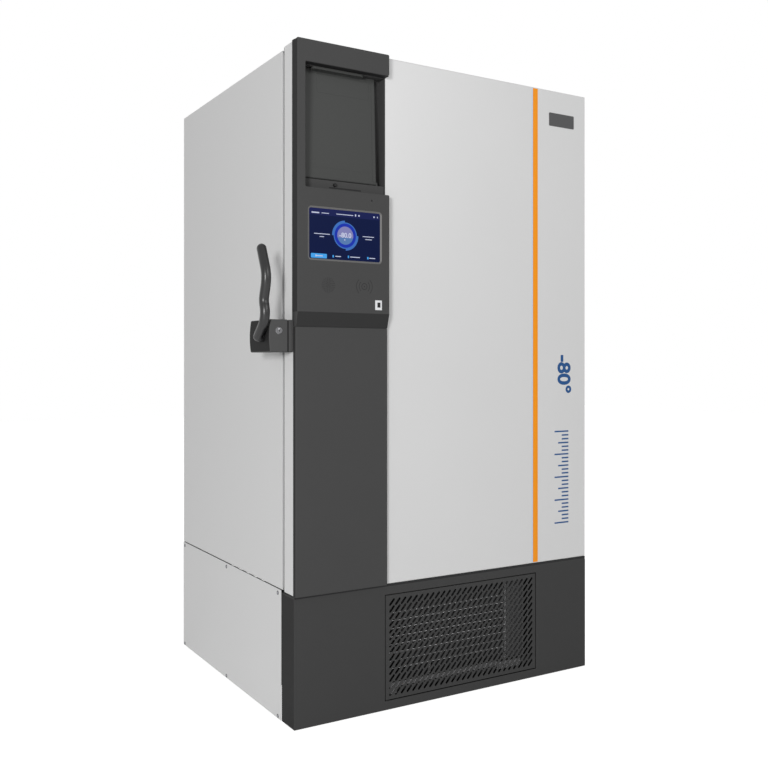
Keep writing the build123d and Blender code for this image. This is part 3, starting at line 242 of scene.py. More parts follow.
def within(places, loop):
    """Whether each place lies in a loop: a level line from it crosses the sides an odd number of times."""
    ahead = np.roll(loop, -1, 0)
    crossed = (loop[:, 1] > places[:, 1:]) != (ahead[:, 1] > places[:, 1:])
    rise = np.where(ahead[:, 1] == loop[:, 1], 1, ahead[:, 1] - loop[:, 1])
    meeting = loop[:, 0] + (places[:, 1:] - loop[:, 1]) / rise * (ahead[:, 0] - loop[:, 0])
    return np.sum(crossed & (places[:, :1] < meeting), axis=1) % 2 == 1


def prism(outline, profile, view, holes=(), caps=(True, True)):
    """An outline's rings, each moved in and set deep by the profile, joined, capped and pierced by holes."""
    count = len(outline)
    rings = [np.column_stack([moved_in(outline, inner), np.full(count, depth)]) for inner, depth in profile]
    faces = [face for row in range(len(profile) - 1) for face in band(count, row * count)]
    points = list(rings)
    total = count * len(profile)
    for ring, capped, first in ((rings[0], caps[0], 0), (rings[-1], caps[1], total - count)):
        if capped and not len(holes):
            faces.append(list(range(first, first + count)))
        elif capped:
            loops = [ring[:, :2], *holes]
            ends = np.cumsum([0] + [len(loop) for loop in loops])
            edges = [
                (int(ends[k] + i), int(ends[k] + (i + 1) % len(loop)))
                for k, loop in enumerate(loops)
                for i in range(len(loop))
            ]
            flat = [Vector(place) for place in np.concatenate(loops).tolist()]
            found = delaunay_2d_cdt(flat, edges, [], 2, 1e-7)
            places = np.array([tuple(place) for place in found[0]])
            points.append(np.column_stack([places, np.full(len(places), ring[0, 2])]))
            middles = np.array([places[face].mean(0) for face in found[2]])
            open_ones = np.any([within(middles, hole) for hole in holes], axis=0)
            kept = [face for face, gone in zip(found[2], open_ones) if not gone]
            faces += [[corner + total for corner in face] for face in kept]
            total += len(places)
    for hole in holes:
        points += [np.column_stack([hole, np.full(len(hole), end[0, 2])]) for end in (rings[0], rings[-1])]
        faces += band(len(hole), total)
        total += 2 * len(hole)
    return np.concatenate(points)[:, view], faces


def boxes(lows, highs):
    """Plain boxes, any number at once, between their low and their high corners."""
    lows, highs = np.atleast_2d(lows), np.atleast_2d(highs)
    pick = np.array([(x, y, z) for z in (0, 1) for y in (0, 1) for x in (0, 1)], bool)
    points = np.where(pick[None], highs[:, None], lows[:, None]).reshape(-1, 3)
    sides = np.array([(0, 2, 3, 1), (4, 5, 7, 6), (0, 1, 5, 4), (2, 6, 7, 3), (0, 4, 6, 2), (1, 3, 7, 5)])
    faces = (sides[None] + 8 * np.arange(len(lows))[:, None, None]).reshape(-1, 4)
    return points, faces.tolist()


def new_piece(name, shapes, finish, body, sharp=35):
    """A mesh of one or more shapes that rides on a body: even over its bends, crisp at sharper edges."""
    points, faces, total = [], [], 0
    for part_points, part_faces in shapes:
        points.append(part_points)
        faces += [[corner + total for corner in face] for face in part_faces]
        total += len(part_points)
    mesh = bpy.data.meshes.new(name)
    mesh.from_pydata(np.concatenate(points).tolist(), [], faces)
    build = bmesh.new()
    build.from_mesh(mesh)
    bmesh.ops.remove_doubles(build, verts=build.verts, dist=2e-6)
    bmesh.ops.recalc_face_normals(build, faces=build.faces)
    build.to_mesh(mesh)
    build.free()
    mesh.shade_smooth()
    mesh.set_sharp_from_angle(angle=math.radians(sharp))
    mesh.materials.append(finish)
    piece = bpy.data.objects.new(name, mesh)
    bpy.context.scene.collection.objects.link(piece)
    even = piece.modifiers.new("flat_faces_stay_flat", "WEIGHTED_NORMAL")
    even.keep_sharp = True
    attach(piece, body)
    return piece


shell_low, shell_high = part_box("outer_shell")
shell_sheet = 0.0012
shell_bend = 0.0015
shell_lip = 0.006
port_centre = (0.289, 1.552)
cabinet_white = coated("cabinet_white", tint(212, 212, 212), 0.36, 0.0009, 0.00004, 0.012, shine=1.0)
shell_front = shell_low.y - 0.0005
shell_profile = roll(shell_bend, shell_high.y, -1) + roll(shell_bend, shell_front, 1)[::-1] + [
    (shell_lip, shell_front),
    (shell_lip, shell_low.y),
    (shell_sheet, shell_low.y + shell_sheet),
    (shell_sheet, shell_high.y - shell_sheet),
]
shell_outline = rectangle((shell_low.x, shell_low.z), (shell_high.x, shell_high.z), 0.003)
port_cut = circle(port_centre, 0.0171)
cabinet_shell = new_piece(
    "cabinet_shell",
    [prism(shell_outline, shell_profile, front_view, [port_cut])],
    cabinet_white, "cabinet",
)
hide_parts("outer_shell")

# Outer door's skin: a deep tray of the same kind of white sheet, with round bends at its front edges and a
# window in its upper left, where the recorder's recess is let in. It is coated a shade lighter.
door_low, door_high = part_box("door_skin")
door_bend = 0.004
door_sheet = 0.0012
door_white = coated("door_white", tint(215, 215, 215), 0.36, 0.0009, 0.00004, 0.012, shine=0.9)
door_outline = rectangle((door_low.x, door_low.z), (door_high.x, door_high.z), 0.004)
door_profile = roll(door_bend, door_low.y, 1) + [
    (0, door_high.y),
    (door_sheet, door_high.y),
    (door_sheet, door_low.y + door_sheet),
]
tray_low, tray_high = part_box("recorder_tray")
tray_window = rectangle((tray_low.x, tray_low.z), (tray_high.x, tray_high.z))
door_front = new_piece(
    "door_front",
    [prism(door_outline, door_profile, front_view, [tray_window])],
    door_white, "outer_door",
)
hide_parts("door_skin")


# Orange stripe with a thin pale line at its left: coloured film, laid on the door's front from its bottom
# bend to its top bend.
def strips(rows, depths):
    """Thin boxes on the front, from rows of left, bottom, right and top, between two depths."""
    left, bottom, right, top = np.array(rows, float).T
    front, back = (np.full(len(left), depth) for depth in depths)
    return boxes(np.column_stack([left, front, bottom]), np.column_stack([right, back, top]))


stripe_x = (0.362, 0.383)
line_x = (0.3570, 0.3615)
film_y = (door_low.y - 0.0002, door_low.y)
film_z = (door_low.z + door_bend, door_high.z - door_bend)
orange_film = coated("orange_film", tint(252, 153, 2), 0.34, 0.0008, 0.00002, 0.02)
pale_film = coated("pale_film", tint(196, 214, 238), 0.34, 0.0008, 0.00002, 0.02)
for name, x, finish in (("orange_stripe", stripe_x, orange_film), ("pale_line", line_x, pale_film)):
    film = strips([(x[0], film_z[0], x[1], film_z[1])], film_y)
    new_piece(name, [film], finish, "outer_door")

# Name plate without a name: a dark anodised plate with a finely rounded edge, glued on the door's front at
# its top right.
plate_front = door_low.y - 0.0018
plate_outline = rectangle((0.4325, 1.8602), (0.5425, 1.9046), 0.003)
plate_profile = roll(0.0006, plate_front, 1) + [(0, door_low.y)]
plate_grey = coated("plate_grey", tint(78, 78, 79), 0.4, 0.0006, 0.00003, 0.05, metallic=0.2)
new_piece(
    "bare_plate",
    [prism(plate_outline, plate_profile, front_view)],
    plate_grey, "outer_door",
)

# Blue print: the temperature this freezer is for, reading downwards, and a thermometer's scale of ticks
# below it. It stands in for the maker's lettering, and is screen printed.
print_blue = coated("print_blue", tint(24, 78, 134), 0.4, 0.0008, 0.00002, 0.02)


def corner_places(mesh):
    """The places of a mesh's corners, one row for each."""
    places = np.zeros(len(mesh.vertices) * 3)
    mesh.vertices.foreach_get("co", places)
    return places.reshape(-1, 3)


def printed(text, height, centre, front, thick, turned, bold):
    """Plain numerals as flat faces with a small depth: the built-in face, scaled and put at a centre."""
    curve = bpy.data.curves.new(text, "FONT")
    curve.body = text
    curve.offset = bold
    letters = bpy.data.objects.new(text, curve)
    bpy.context.scene.collection.objects.link(letters)
    bpy.context.view_layer.update()
    mesh = bpy.data.meshes.new_from_object(letters)
    flat = corner_places(mesh)[:, :2]
    faces = [list(polygon.vertices) for polygon in mesh.polygons]
    bpy.data.objects.remove(letters)
    bpy.data.curves.remove(curve)
    bpy.data.meshes.remove(mesh)
    flat = flat - (flat.min(0) + flat.max(0)) / 2
    flat = flat * height / np.ptp(flat[:, 1])
    if turned:
        flat = np.column_stack([flat[:, 1], -flat[:, 0]])
    flat = flat + centre
    front_rows = np.column_stack([flat, np.full(len(flat), front)])
    back_rows = np.column_stack([flat, np.full(len(flat), front + thick)])
    count = len(flat)
    sides = [pair for face in faces for pair in zip(face, face[1:] + face[:1])]
    rim = [(a, b) for a, b in sides if (b, a) not in set(sides)]
    walls = [[a, b, b + count, a + count] for a, b in rim]
    back_faces = [[corner + count for corner in face] for face in faces]
    return np.concatenate([front_rows, back_rows])[:, front_view], faces + back_faces + walls


number_shape = printed("-80\u00b0", 0.062, (0.501, 1.0185), door_low.y - 0.0002, 0.0002, True, 0.03)
scale_z = (0.512, 0.823)
tick_count = 24
tick_right = 0.519
tick_half = 0.0025
tick_number = np.arange(tick_count + 1)
tick_z = scale_z[0] + tick_number * (scale_z[1] - scale_z[0]) / tick_count
tick_width = np.where(tick_number % 6 == 0, 0.062, np.where(tick_number % 3 == 0, 0.046, 0.03))
tick_rows = np.column_stack(
    [tick_right - tick_width, tick_z - tick_half, np.full(len(tick_z), tick_right), tick_z + tick_half]
)
new_piece("blue_numerals", [number_shape], print_blue, "outer_door")
new_piece("blue_scale", [strips(tick_rows, film_y)], print_blue, "outer_door")

# Side strip: the dark lower part of the column, a folded and painted cover over the door's left edge. Its
# front has small round bends, and a return goes back along the door's side.
strip_low, strip_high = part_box("side_strip")
strip_bend = 0.003
dark_coat = coated("dark_coat", tint(75, 75, 75), 0.5, 0.0007, 0.00005, 0.03, shine=0.03)
strip_outline = rectangle((strip_low.x, strip_low.z), (strip_high.x, strip_high.z), strip_bend)
strip_profile = roll(strip_bend, strip_low.y, 1) + [(0, door_low.y)]
strip_return = boxes(
    (strip_low.x, door_low.y - 0.003, strip_low.z), (door_low.x, strip_high.y, strip_high.z)
)
strip_piece = new_piece(
    "column_strip",
    [prism(strip_outline, strip_profile, front_view), strip_return],
    dark_coat, "outer_door",
)
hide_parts("side_strip")

# Control housing: header, left frame and control panel in one dark moulding with a C-shaped front, a
# sloping chin, a window for the screen, a socket, a lamp's hole and a rosette of small holes for the beeper.
housing_low, housing_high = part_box("control_housing")
chin_z = (housing_low.z, 1.202)
chin_depth = 0.012
frame_x = -0.494
recess_z = (tray_low.z, tray_high.z)
housing_outline = rounded(
    [
        (housing_low.x, housing_low.z),
        (housing_high.x, housing_low.z),
        (housing_high.x, chin_z[1]),
        (housing_high.x, recess_z[0]),
        (frame_x, recess_z[0]),
        (frame_x, recess_z[1]),
        (housing_high.x, recess_z[1]),
        (housing_high.x, housing_high.z),
        (housing_low.x, housing_high.z),
        (housing_low.x, chin_z[1]),
    ],
    [0, 0, 0, 0.003, 0.004, 0.004, 0.006, 0.004, 0.003, 0],
)
housing_profile = roll(0.0025, housing_low.y, 1) + [(0, door_low.y)]
screen_low, screen_high = (-0.4872, 1.3500), (-0.2412, 1.5055)
screen_window = rectangle(screen_low, screen_high, 0.011)
usb_low, usb_high = (-0.265, 1.213), (-0.242, 1.242)
usb_window = rectangle(usb_low, usb_high, 0.001, 2)
lamp_centre = (-0.277, 1.537)
lamp_hole = circle(lamp_centre, 0.003, 16)
rosette_centre = (-0.4215, 1.2803)
rosette = []
for ring_number, holes_in_ring in enumerate((1, 6, 10, 14, 18, 22)):
    spots = circle(rosette_centre, ring_number * 0.0041 + 1e-9, holes_in_ring)
    rosette += [circle(spot, 0.00125, 8) for spot in spots]
housing_windows = [screen_window, usb_window, lamp_hole, *rosette]
housing_front = prism(housing_outline, housing_profile, front_view, housing_windows, (True, False))
housing_return = boxes(
    (housing_low.x, door_low.y - 0.004, housing_low.z), (door_low.x, housing_high.y, housing_high.z)
)
housing_sharp = 12
housing = new_piece(
    "column_housing", [housing_front, housing_return], dark_coat, "outer_door", housing_sharp
)


def cut(mesh, planes, gone=None):
    """A mesh cut along planes, each a place and a normal, and without the faces whose middle is gone."""
    moulding = bmesh.new()
    moulding.from_mesh(mesh)
    for spot, way in planes:
        everything = moulding.verts[:] + moulding.edges[:] + moulding.faces[:]
        bmesh.ops.bisect_plane(moulding, geom=everything, plane_co=spot, plane_no=way, dist=1e-6)
    if gone:
        opened = [face for face in moulding.faces if gone(face.calc_center_median())]
        bmesh.ops.delete(moulding, geom=opened, context="FACES")
    moulding.to_mesh(mesh)
    moulding.free()


cut(housing.data, [((0, 0, chin_z[1]), (0, 0, 1))])
places = corner_places(housing.data)
slope = np.clip((chin_z[1] - places[:, 2]) / (chin_z[1] - chin_z[0]), 0, 1) * chin_depth
forward = np.clip((door_low.y - places[:, 1]) / (door_low.y - housing_low.y), 0, 1)
places[:, 1] += slope * forward
housing.data.vertices.foreach_set("co", places.ravel())
housing.data.set_sharp_from_angle(angle=math.radians(housing_sharp))
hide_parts("control_housing")

# Flanks of the column and of the base's front: painted shade. The sides of these dark parts are made darker
# than their faces to stand in for the shade on them, and each painted coat is a thin plate over its side.
coat = 0.0002
flank_painted_shade = coated("flank_painted_shade", tint(56, 56, 56), 0.55, 0.0007, 0.00005, 0.03, shine=0.02)
flank_lows = [
    (housing_low.x - coat, housing_low.y + 0.0026, chin_z[1]),
    (strip_low.x - coat, strip_low.y + 0.0032, strip_low.z + 0.002),
]
flank_highs = [
    (housing_low.x, housing_high.y - 0.001, housing_high.z - 0.003),
    (strip_low.x, strip_high.y - 0.001, strip_high.z - 0.001),
]
new_piece("column_flank_painted_shade", [boxes(flank_lows, flank_highs)], flank_painted_shade, "outer_door")
fascia_low, fascia_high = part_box("front_fascia")
flank_y = (fascia_low.y + 0.003, fascia_high.y - 0.001)
flank_z = (fascia_low.z + 0.002, fascia_high.z - 0.004)
base_flank_painted_shade = boxes(
    [(fascia_low.x - coat, flank_y[0], flank_z[0]), (fascia_high.x, flank_y[0], flank_z[0])],
    [(fascia_low.x, flank_y[1], flank_z[1]), (fascia_high.x + coat, flank_y[1], flank_z[1])],
)
new_piece("base_flank_painted_shade", [base_flank_painted_shade], flank_painted_shade, "cabinet")


# The chin's own face is a strip of painted shade, a darker film for the shade on this downward face. It runs
# from one end of the housing to the other, lies on the slope and is as thin as a film.
def slab(outline, depths, view, holes=()):
    """An outline carried straight from one depth to another, closed at both and pierced by holes."""
    return prism(outline, [(0, depths[0]), (0, depths[1])], view, holes)


chin_painted_shade = coated("chin_painted_shade", tint(57, 57, 57), 0.55, 0.0007, 0.00005, 0.03, shine=0.02)
chin_shade_film = 0.0003
chin_section = np.array([
    (housing_low.y, chin_z[1]),
    (housing_low.y + chin_depth, chin_z[0]),
    (housing_low.y + chin_depth - chin_shade_film, chin_z[0]),
    (housing_low.y - chin_shade_film, chin_z[1]),
])
new_piece(
    "column_chin_painted_shade",
    [slab(chin_section[::-1], (housing_low.x + 0.001, housing_high.x - 0.001), side_view)],
    chin_painted_shade, "outer_door",
)

# Touch screen: a glass in a satin bezel that falls inwards to it, lit from behind. Its picture is plain: a
# dial with the temperature in its middle, a bar at the top and four touch fields at the bottom.
screen_front = housing_low.y + 0.0004
glass_depth = 0.0025
bezel_width = 0.0055
bezel_grey = coated("bezel_grey", tint(104, 103, 102), 0.42, 0.0008, 0.00004, 0.03)
bezel_outline = rectangle(screen_low, screen_high, 0.011, 6)
bezel_profile = [
    (0, screen_front + 0.008),
    (0, screen_front),
    (0.0012, screen_front - 0.0004),
    (bezel_width, screen_front + glass_depth),
    (bezel_width + 0.001, screen_front + 0.008),
]
new_piece(
    "screen_bezel",
    [prism(bezel_outline, bezel_profile, front_view, caps=(False, False))],
    bezel_grey, "outer_door",
)


def lit(name, colour, mottle=0.04):
    """A finish that glows evenly in its own colour under a dark glass."""
    finish = coated(name, colour, 0.2, 0.002, 0.000003, mottle)
    shader = finish.node_tree.nodes["Principled BSDF"]
    colouring = shader.inputs["Base Color"].links[0]
    finish.node_tree.links.new(colouring.from_socket, shader.inputs["Emission Color"])
    finish.node_tree.links.remove(shader.inputs["Base Color"].links[0])
    shader.inputs["Base Color"].default_value = (0.003, 0.003, 0.003, 1)
    shader.inputs["Emission Strength"].default_value = 1
    finish.cycles.emission_sampling = "NONE"
    shader.inputs["Specular IOR Level"].default_value = 0.02
    return finish


def sector(centre, radii, degrees, depths, steps=24):
    """A flat band of an arc: between two radii, from one angle to another, with a small depth."""
    turn = np.radians(np.linspace(*degrees, steps + 1))
    way = np.column_stack([np.cos(turn), np.sin(turn)])
    outline = centre + radii[1] * way
    if radii[0]:
        outline = np.concatenate([outline, centre + radii[0] * way[::-1]])
    return slab(outline, depths, front_view)


def washer(centre, radii, depths, steps=48):
    """A flat ring between two radii, with a small depth."""
    return slab(circle(centre, radii[1], steps), depths, front_view, [circle(centre, radii[0], steps)])


glass_y = screen_front + glass_depth
layer = 0.00015
ink = (glass_y - 2 * layer, glass_y - layer)
last_ink = (glass_y - 4 * layer, glass_y - 3 * layer)
glass_outline = moved_in(bezel_outline, bezel_width - 0.0005)
screen_navy = lit("screen_navy", tint(10, 22, 62), 0.12)
glass = new_piece(
    "screen_glass", [slab(glass_outline, (glass_y, glass_y + 0.004), front_view)], screen_navy,
    "outer_door",
)
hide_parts("display_screen")
dial = (-0.3646, 1.4273)
screen_pieces = {
    "screen_top_bar": (lit("screen_bar", tint(24, 31, 80)), [
        strips([(-0.4835, 1.481, -0.2485, 1.5005)], ink),
    ]),
    "dial_arcs": (lit("dial_arc_blue", tint(62, 110, 184)), [
        sector(dial, (0.0385, 0.0435), (92, 182), ink),
        sector(dial, (0.0385, 0.0435), (272, 362), ink),
        washer(dial, (0.0355, 0.0385), ink),
    ]),
    "dial_ring": (lit("dial_ring_blue", tint(28, 52, 168)), [washer(dial, (0.0265, 0.0355), ink)]),
    "dial_sky": (lit("dial_lavender", tint(128, 128, 178)), [
        sector(dial, (0.0, 0.0265), (-14, 194), ink, 32),
    ]),
    "dial_sea": (lit("dial_sea_blue", tint(84, 118, 168), 0.2), [
        sector(dial, (0.0, 0.0265), (194, 346), ink, 32),
    ]),
    "screen_button": (lit("button_blue", tint(70, 160, 232)), [
        slab(rectangle((-0.4765, 1.3572), (-0.4252, 1.3703), 0.002), ink, front_view),
        strips([
            (-0.4068, 1.3615, -0.4022, 1.3682),
            (-0.3562, 1.3625, -0.3522, 1.3695),
            (-0.2912, 1.3625, -0.2862, 1.3695),
        ], ink),
    ]),
    "screen_marks": (lit("mark_white", tint(196, 202, 224)), [
        strips([
            (-0.4745, 1.4855, -0.4500, 1.4890), (-0.4425, 1.4865, -0.4185, 1.4885),
            (-0.3945, 1.4870, -0.3385, 1.4890), (-0.3325, 1.4858, -0.3285, 1.4920),
            (-0.3215, 1.4868, -0.3165, 1.4910), (-0.2700, 1.4868, -0.2655, 1.4912),
            (-0.2572, 1.4868, -0.2545, 1.4912), (-0.4665, 1.4262, -0.4155, 1.4282),
            (-0.4485, 1.4182, -0.4345, 1.4202), (-0.3065, 1.4278, -0.2680, 1.4298),
            (-0.2975, 1.4198, -0.2750, 1.4218), (-0.4590, 1.3625, -0.4385, 1.3648),
            (-0.4620, 1.3610, -0.4592, 1.3666), (-0.3975, 1.3640, -0.3795, 1.3664),
            (-0.3485, 1.3648, -0.3160, 1.3672), (-0.2838, 1.3648, -0.2640, 1.3672),
        ], last_ink),
        printed("-80.0", 0.0145, (dial[0], dial[1] + 0.001), last_ink[0], layer, False, 0.02),
        printed("\u00b0", 0.004, (dial[0] - 0.002, dial[1] - 0.0125), last_ink[0], layer, False, 0.02),
    ]),
}
for name, (finish, shapes) in screen_pieces.items():
    new_piece(name, shapes, finish, "outer_door")

# Small fittings of the panel: the alarm lamp's dark lens, the data socket in its white surround, black discs
# of painted shade in the beeper's holes for the shade inside them, and the card reader's printed sign, a
# ringed dot with two arcs on each side.
lens_dark = coated("lens_dark", tint(22, 22, 24), 0.2, 0.001, 0.00001, 0.04)
lens_turn = np.linspace(0, math.pi / 2, 6)
lens_edge = housing_low.y + 0.0012
lens_rows = [(0.0026 * (1 - math.sin(t)), lens_edge - 0.0012 * math.cos(t)) for t in lens_turn[:-1]]
lens_rows += [(0, housing_low.y + 0.006)]
new_piece(
    "alarm_lamp",
    [prism(circle(lamp_centre, 0.0027, 20), lens_rows, front_view)],
    lens_dark, "outer_door",
)
socket_white = coated("socket_white", tint(228, 229, 231), 0.42, 0.0009, 0.00003, 0.02)
socket_outline = rectangle(usb_low, usb_high, 0.0012)
socket_hole = rectangle((-0.2579, 1.2205), (-0.2469, 1.2355), 0.0006, 2)
socket_front = housing_low.y - 0.0009
socket_rows = roll(0.0006, socket_front, 1) + [(0, socket_front + 0.012)]
socket = new_piece(
    "data_socket",
    [prism(socket_outline, socket_rows, front_view, [socket_hole])],
    socket_white, "outer_door",
)
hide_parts("usb_port")
# One near-black finish for the black parts and for the painted shade in holes, slots and gaps.
black_and_painted_shade = coated("black_and_painted_shade", tint(16, 16, 17), 0.6, 0.001, 0.00005, 0.05)
new_piece(
    "data_socket_cavity",
    [boxes((-0.2583, socket_front + 0.0012, 1.2201), (-0.2465, socket_front + 0.0105, 1.2359))],
    black_and_painted_shade, "outer_door",
)
beeper_shade_y = (housing_low.y - 0.0001, housing_low.y + 0.0005)
new_piece(
    "beeper_hole_painted_shade", [slab(hole, beeper_shade_y, front_view) for hole in rosette],
    black_and_painted_shade, "outer_door",
)
sign_centre = (-0.302, 1.2812)
sign_print = coated("sign_print", tint(52, 52, 52), 0.55, 0.0007, 0.00003, 0.04, shine=0.03)
sign_ink = (housing_low.y - 0.0001, housing_low.y)
sign = [
    washer(sign_centre, (0.0081, 0.0097), sign_ink, 36),
    slab(circle(sign_centre, 0.0018, 20), sign_ink, front_view),
]
for middle in (0, 180):
    for radii in ((0.0168, 0.0182), (0.0262, 0.0276)):
        sign.append(sector(sign_centre, radii, (middle - 48, middle + 48), sign_ink))
new_piece("reader_sign", sign, sign_print, "outer_door")

# Recess under the cover: the tub stays as it is. Its sill carries a small black knob that locks the
# recorder, and a thin black strip on it is painted shade for the slot of the paper's end.
sill_y = door_low.y + 0.004
knob_rows = roll(0.0015, sill_y - 0.006, 1) + [(0, sill_y)]
new_piece(
    "recess_knob",
    [prism(circle((-0.3855, 1.5772), 0.0052, 24), knob_rows, front_view)],
    black_and_painted_shade, "outer_door",
)
new_piece(
    "paper_slot_painted_shade",
    [boxes((-0.4035, sill_y - 0.0004, 1.5665), (-0.297, sill_y, 1.5702))],
    black_and_painted_shade, "outer_door",
)

# Painted shadow under the header: a black strip across the top of the recess, above the cover, that stands
# in for the shade under the header. It runs from the recess's left wall to the column's right edge.
new_piece(
    "header_painted_shadow",
    [boxes(
        (tray_low.x + 0.001, housing_low.y + 0.003, tray_high.z - 0.0004),
        (housing_high.x - 0.001, -0.4665, tray_high.z + 0.0002),
    )],
    black_and_painted_shade, "outer_door",
)

# Recorder cover: a smoked moulded sheet that leans back from its trunnions at the bottom. A shallow raised
# field stiffens it, a bead runs down its right edge, and a rounded bar at the top is the grip.
cover_x = (-0.4875, -0.2435)
cover_axis = (-0.4705, tray_low.z + 0.036)
cover_lean = math.radians(2)
cover_length = (tray_high.z - 0.002 - cover_axis[1] - 0.0015) / math.cos(cover_lean)
cover_grey = coated("cover_grey", tint(70, 71, 70), 0.34, 0.0012, 0.00001, 0.03, shine=0.08)


def leaned(shape):
    """A shape drawn with x, distance outwards and distance up the cover, leaned back about its axis."""
    drawn, faces = shape
    across, out, rise = drawn.T
    y = cover_axis[0] - out * math.cos(cover_lean) + rise * math.sin(cover_lean)
    z = cover_axis[1] + out * math.sin(cover_lean) + rise * math.cos(cover_lean)
    return np.column_stack([across, y, z]), faces


sheet_outline = rectangle((cover_x[0], 0.0), (cover_x[1], cover_length), 0.0015, 2)
field_low, field_high = (cover_x[0] + 0.048, cover_length - 0.068), (cover_x[1] - 0.02, cover_length - 0.012)
field_outline = rectangle(field_low, field_high, 0.008)
grip_outline = rectangle((-0.460, 0.002), (-0.290, 0.0255), 0.0095, 6)
grip_rows = roll(0.0012, cover_length + 0.0006, -1) + roll(0.0012, cover_length - 0.0070, 1)[::-1]
trunnions = slab(circle(cover_axis, 0.002, 16), (cover_x[0] - 0.004, cover_x[1] + 0.004), side_view)
barrel = slab(circle(cover_axis, 0.004, 24), cover_x, side_view)
cover = new_piece(
    "smoked_cover",
    [
        leaned(prism(sheet_outline, roll(0.0008, 0.004, -1) + [(0, 0)], front_view)),
        leaned(prism(field_outline, [(0.0016, 0.0049), (0, 0.0039)], front_view)),
        leaned(boxes(
            (cover_x[1] - 0.012, 0.0038, 0.004), (cover_x[1] - 0.002, 0.0046, cover_length - 0.004)
        )),
        leaned(boxes((cover_x[0] + 0.003, 0.0038, 0.0305), (cover_x[1] - 0.013, 0.0043, 0.0315))),
        leaned(prism(grip_outline, grip_rows, plan_view)),
        trunnions,
        barrel,
    ],
    cover_grey, "recorder_cover",
)
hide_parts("recorder_cover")

# Latch housing: a dark moulding that stands off the door's side on a black neck. Its outer face bulges a
# little between top and bottom. It is open towards the door, where the strike and the cam work inside it.
latch_low, latch_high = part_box("latch_housing")
latch_bulge = 0.0035
latch_extra = 0.004
latch_dark = coated("latch_dark", tint(80, 80, 80), 0.46, 0.0007, 0.00005, 0.03, shine=0.05)
latch_corner = (latch_high.y + latch_extra, latch_high.z + latch_extra)
latch_outline = rectangle((latch_low.y, latch_low.z), latch_corner, 0.003)
latch_profile = roll(0.0025, latch_low.x - 0.0015, 1) + [
    (0, latch_high.x),
    (0.004, latch_high.x),
    (0.004, latch_low.x + 0.004),
]
latch_cover = new_piece(
    "latch_cover", [prism(latch_outline, latch_profile, side_view)], latch_dark, "outer_door"
)
pivot_z = (latch_low.z + latch_high.z) / 2
notch_z = (pivot_z - 0.016, pivot_z + 0.016)
notch_x = -0.570


def in_notch(at):
    """Whether a face's middle lies where the lever's arm comes out of the housing."""
    return at.x > notch_x and notch_z[0] < at.z < notch_z[1] and at.y > latch_high.y - 0.0045


def bulged(mesh, share):
    """A mesh whose points go in by the bulge times their height from the pivot squared, times a share."""
    places = corner_places(mesh)
    height = (places[:, 2] - pivot_z) / ((latch_high.z - latch_low.z) / 2)
    places[:, 0] += latch_bulge * height**2 * share(places[:, 0])
    mesh.vertices.foreach_set("co", places.ravel())


bulge_cuts = [((0, 0, level), (0, 0, 1)) for level in np.linspace(latch_low.z, latch_high.z, 14)[1:-1]]
notch_cuts = [((0, 0, level), (0, 0, 1)) for level in notch_z] + [((notch_x, 0, 0), (1, 0, 0))]
cut(latch_cover.data, bulge_cuts + notch_cuts, in_notch)
bulged(latch_cover.data, lambda x: np.clip((latch_high.x - x) / (latch_high.x - latch_low.x), 0, 1))
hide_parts("latch_housing")
# The latch's outer face carries a near-black plate of painted shade, darker than the housing's front for the
# shade on this side. It bulges with the face.
latch_side_painted_shade = coated("latch_side_painted_shade", tint(44, 44, 44), 0.5, 0.0007, 0.00005, 0.03, shine=0.03)
face_low = (latch_low.y + 0.0026, latch_low.z + 0.002)
face_high = (latch_high.y + 0.0024, latch_high.z + 0.002)
face_outline = rectangle(face_low, face_high, 0.001)
latch_shade_plate = new_piece(
    "latch_face_painted_shade",
    [slab(face_outline, (latch_low.x - 0.0017, latch_low.x - 0.0010), side_view)],
    latch_side_painted_shade, "outer_door",
)
cut(latch_shade_plate.data, bulge_cuts)
bulged(latch_shade_plate.data, lambda x: 1)
new_piece(
    "latch_foot",
    [boxes((-0.5332, -0.4775, latch_low.z + 0.0012), (-0.5202, -0.4705, latch_high.z + 0.003))],
    latch_dark, "outer_door",
)
neck_x = (latch_high.x - 0.0002, latch_high.x + 0.0052)
neck_low = (latch_low.y + 0.0012, latch_low.z + 0.0015)
neck_high = (door_high.y + 0.0002, latch_high.z + 0.0025)
neck_outline = rectangle(neck_low, neck_high, 0.002)
new_piece(
    "latch_neck", [slab(neck_outline, neck_x, side_view, [moved_in(neck_outline, 0.003)])], black_and_painted_shade,
    "outer_door",
)

# Key lock in the latch's front: a chromed dome round a key slot, on a thin flange. The key slot is a black
# plate on the dome, painted shade for the keyway's hollow. The dome and the slot turn with the lock's core.
lock_centre = (-0.563, pivot_z + 0.017)
lock_front = latch_low.y - 0.002
chrome = coated("lock_chrome", tint(112, 112, 114), 0.2, 0.0012, 0.00001, 0.1, metallic=1.0)
dome_turn = np.linspace(0.12, math.pi / 2, 9)
dome_rows = [(0.0085 * (1 - math.sin(t)), lock_front + 0.0022 - 0.0022 * math.cos(t)) for t in dome_turn]
lock_dome = new_piece(
    "lock_dome",
    [
        prism(circle(lock_centre, 0.0085, 40), dome_rows + [(0, lock_front + 0.02)], front_view),
        prism(
            circle(lock_centre, 0.011, 40),
            [(0.0014, lock_front + 0.0006), (0, lock_front + 0.0019)],
            front_view,
        ),
    ],
    chrome, "lock_core",
)
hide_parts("lock_core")
key_half = (0.0009, 0.004)
key_outline = rectangle(
    (lock_centre[0] - key_half[0], lock_centre[1] - key_half[1]),
    (lock_centre[0] + key_half[0], lock_centre[1] + key_half[1]),
    0.0008,
)
new_piece(
    "key_slot_painted_shade", [slab(key_outline, (lock_front - 0.0001, lock_front + 0.002), front_view)],
    black_and_painted_shade, "lock_core",
)
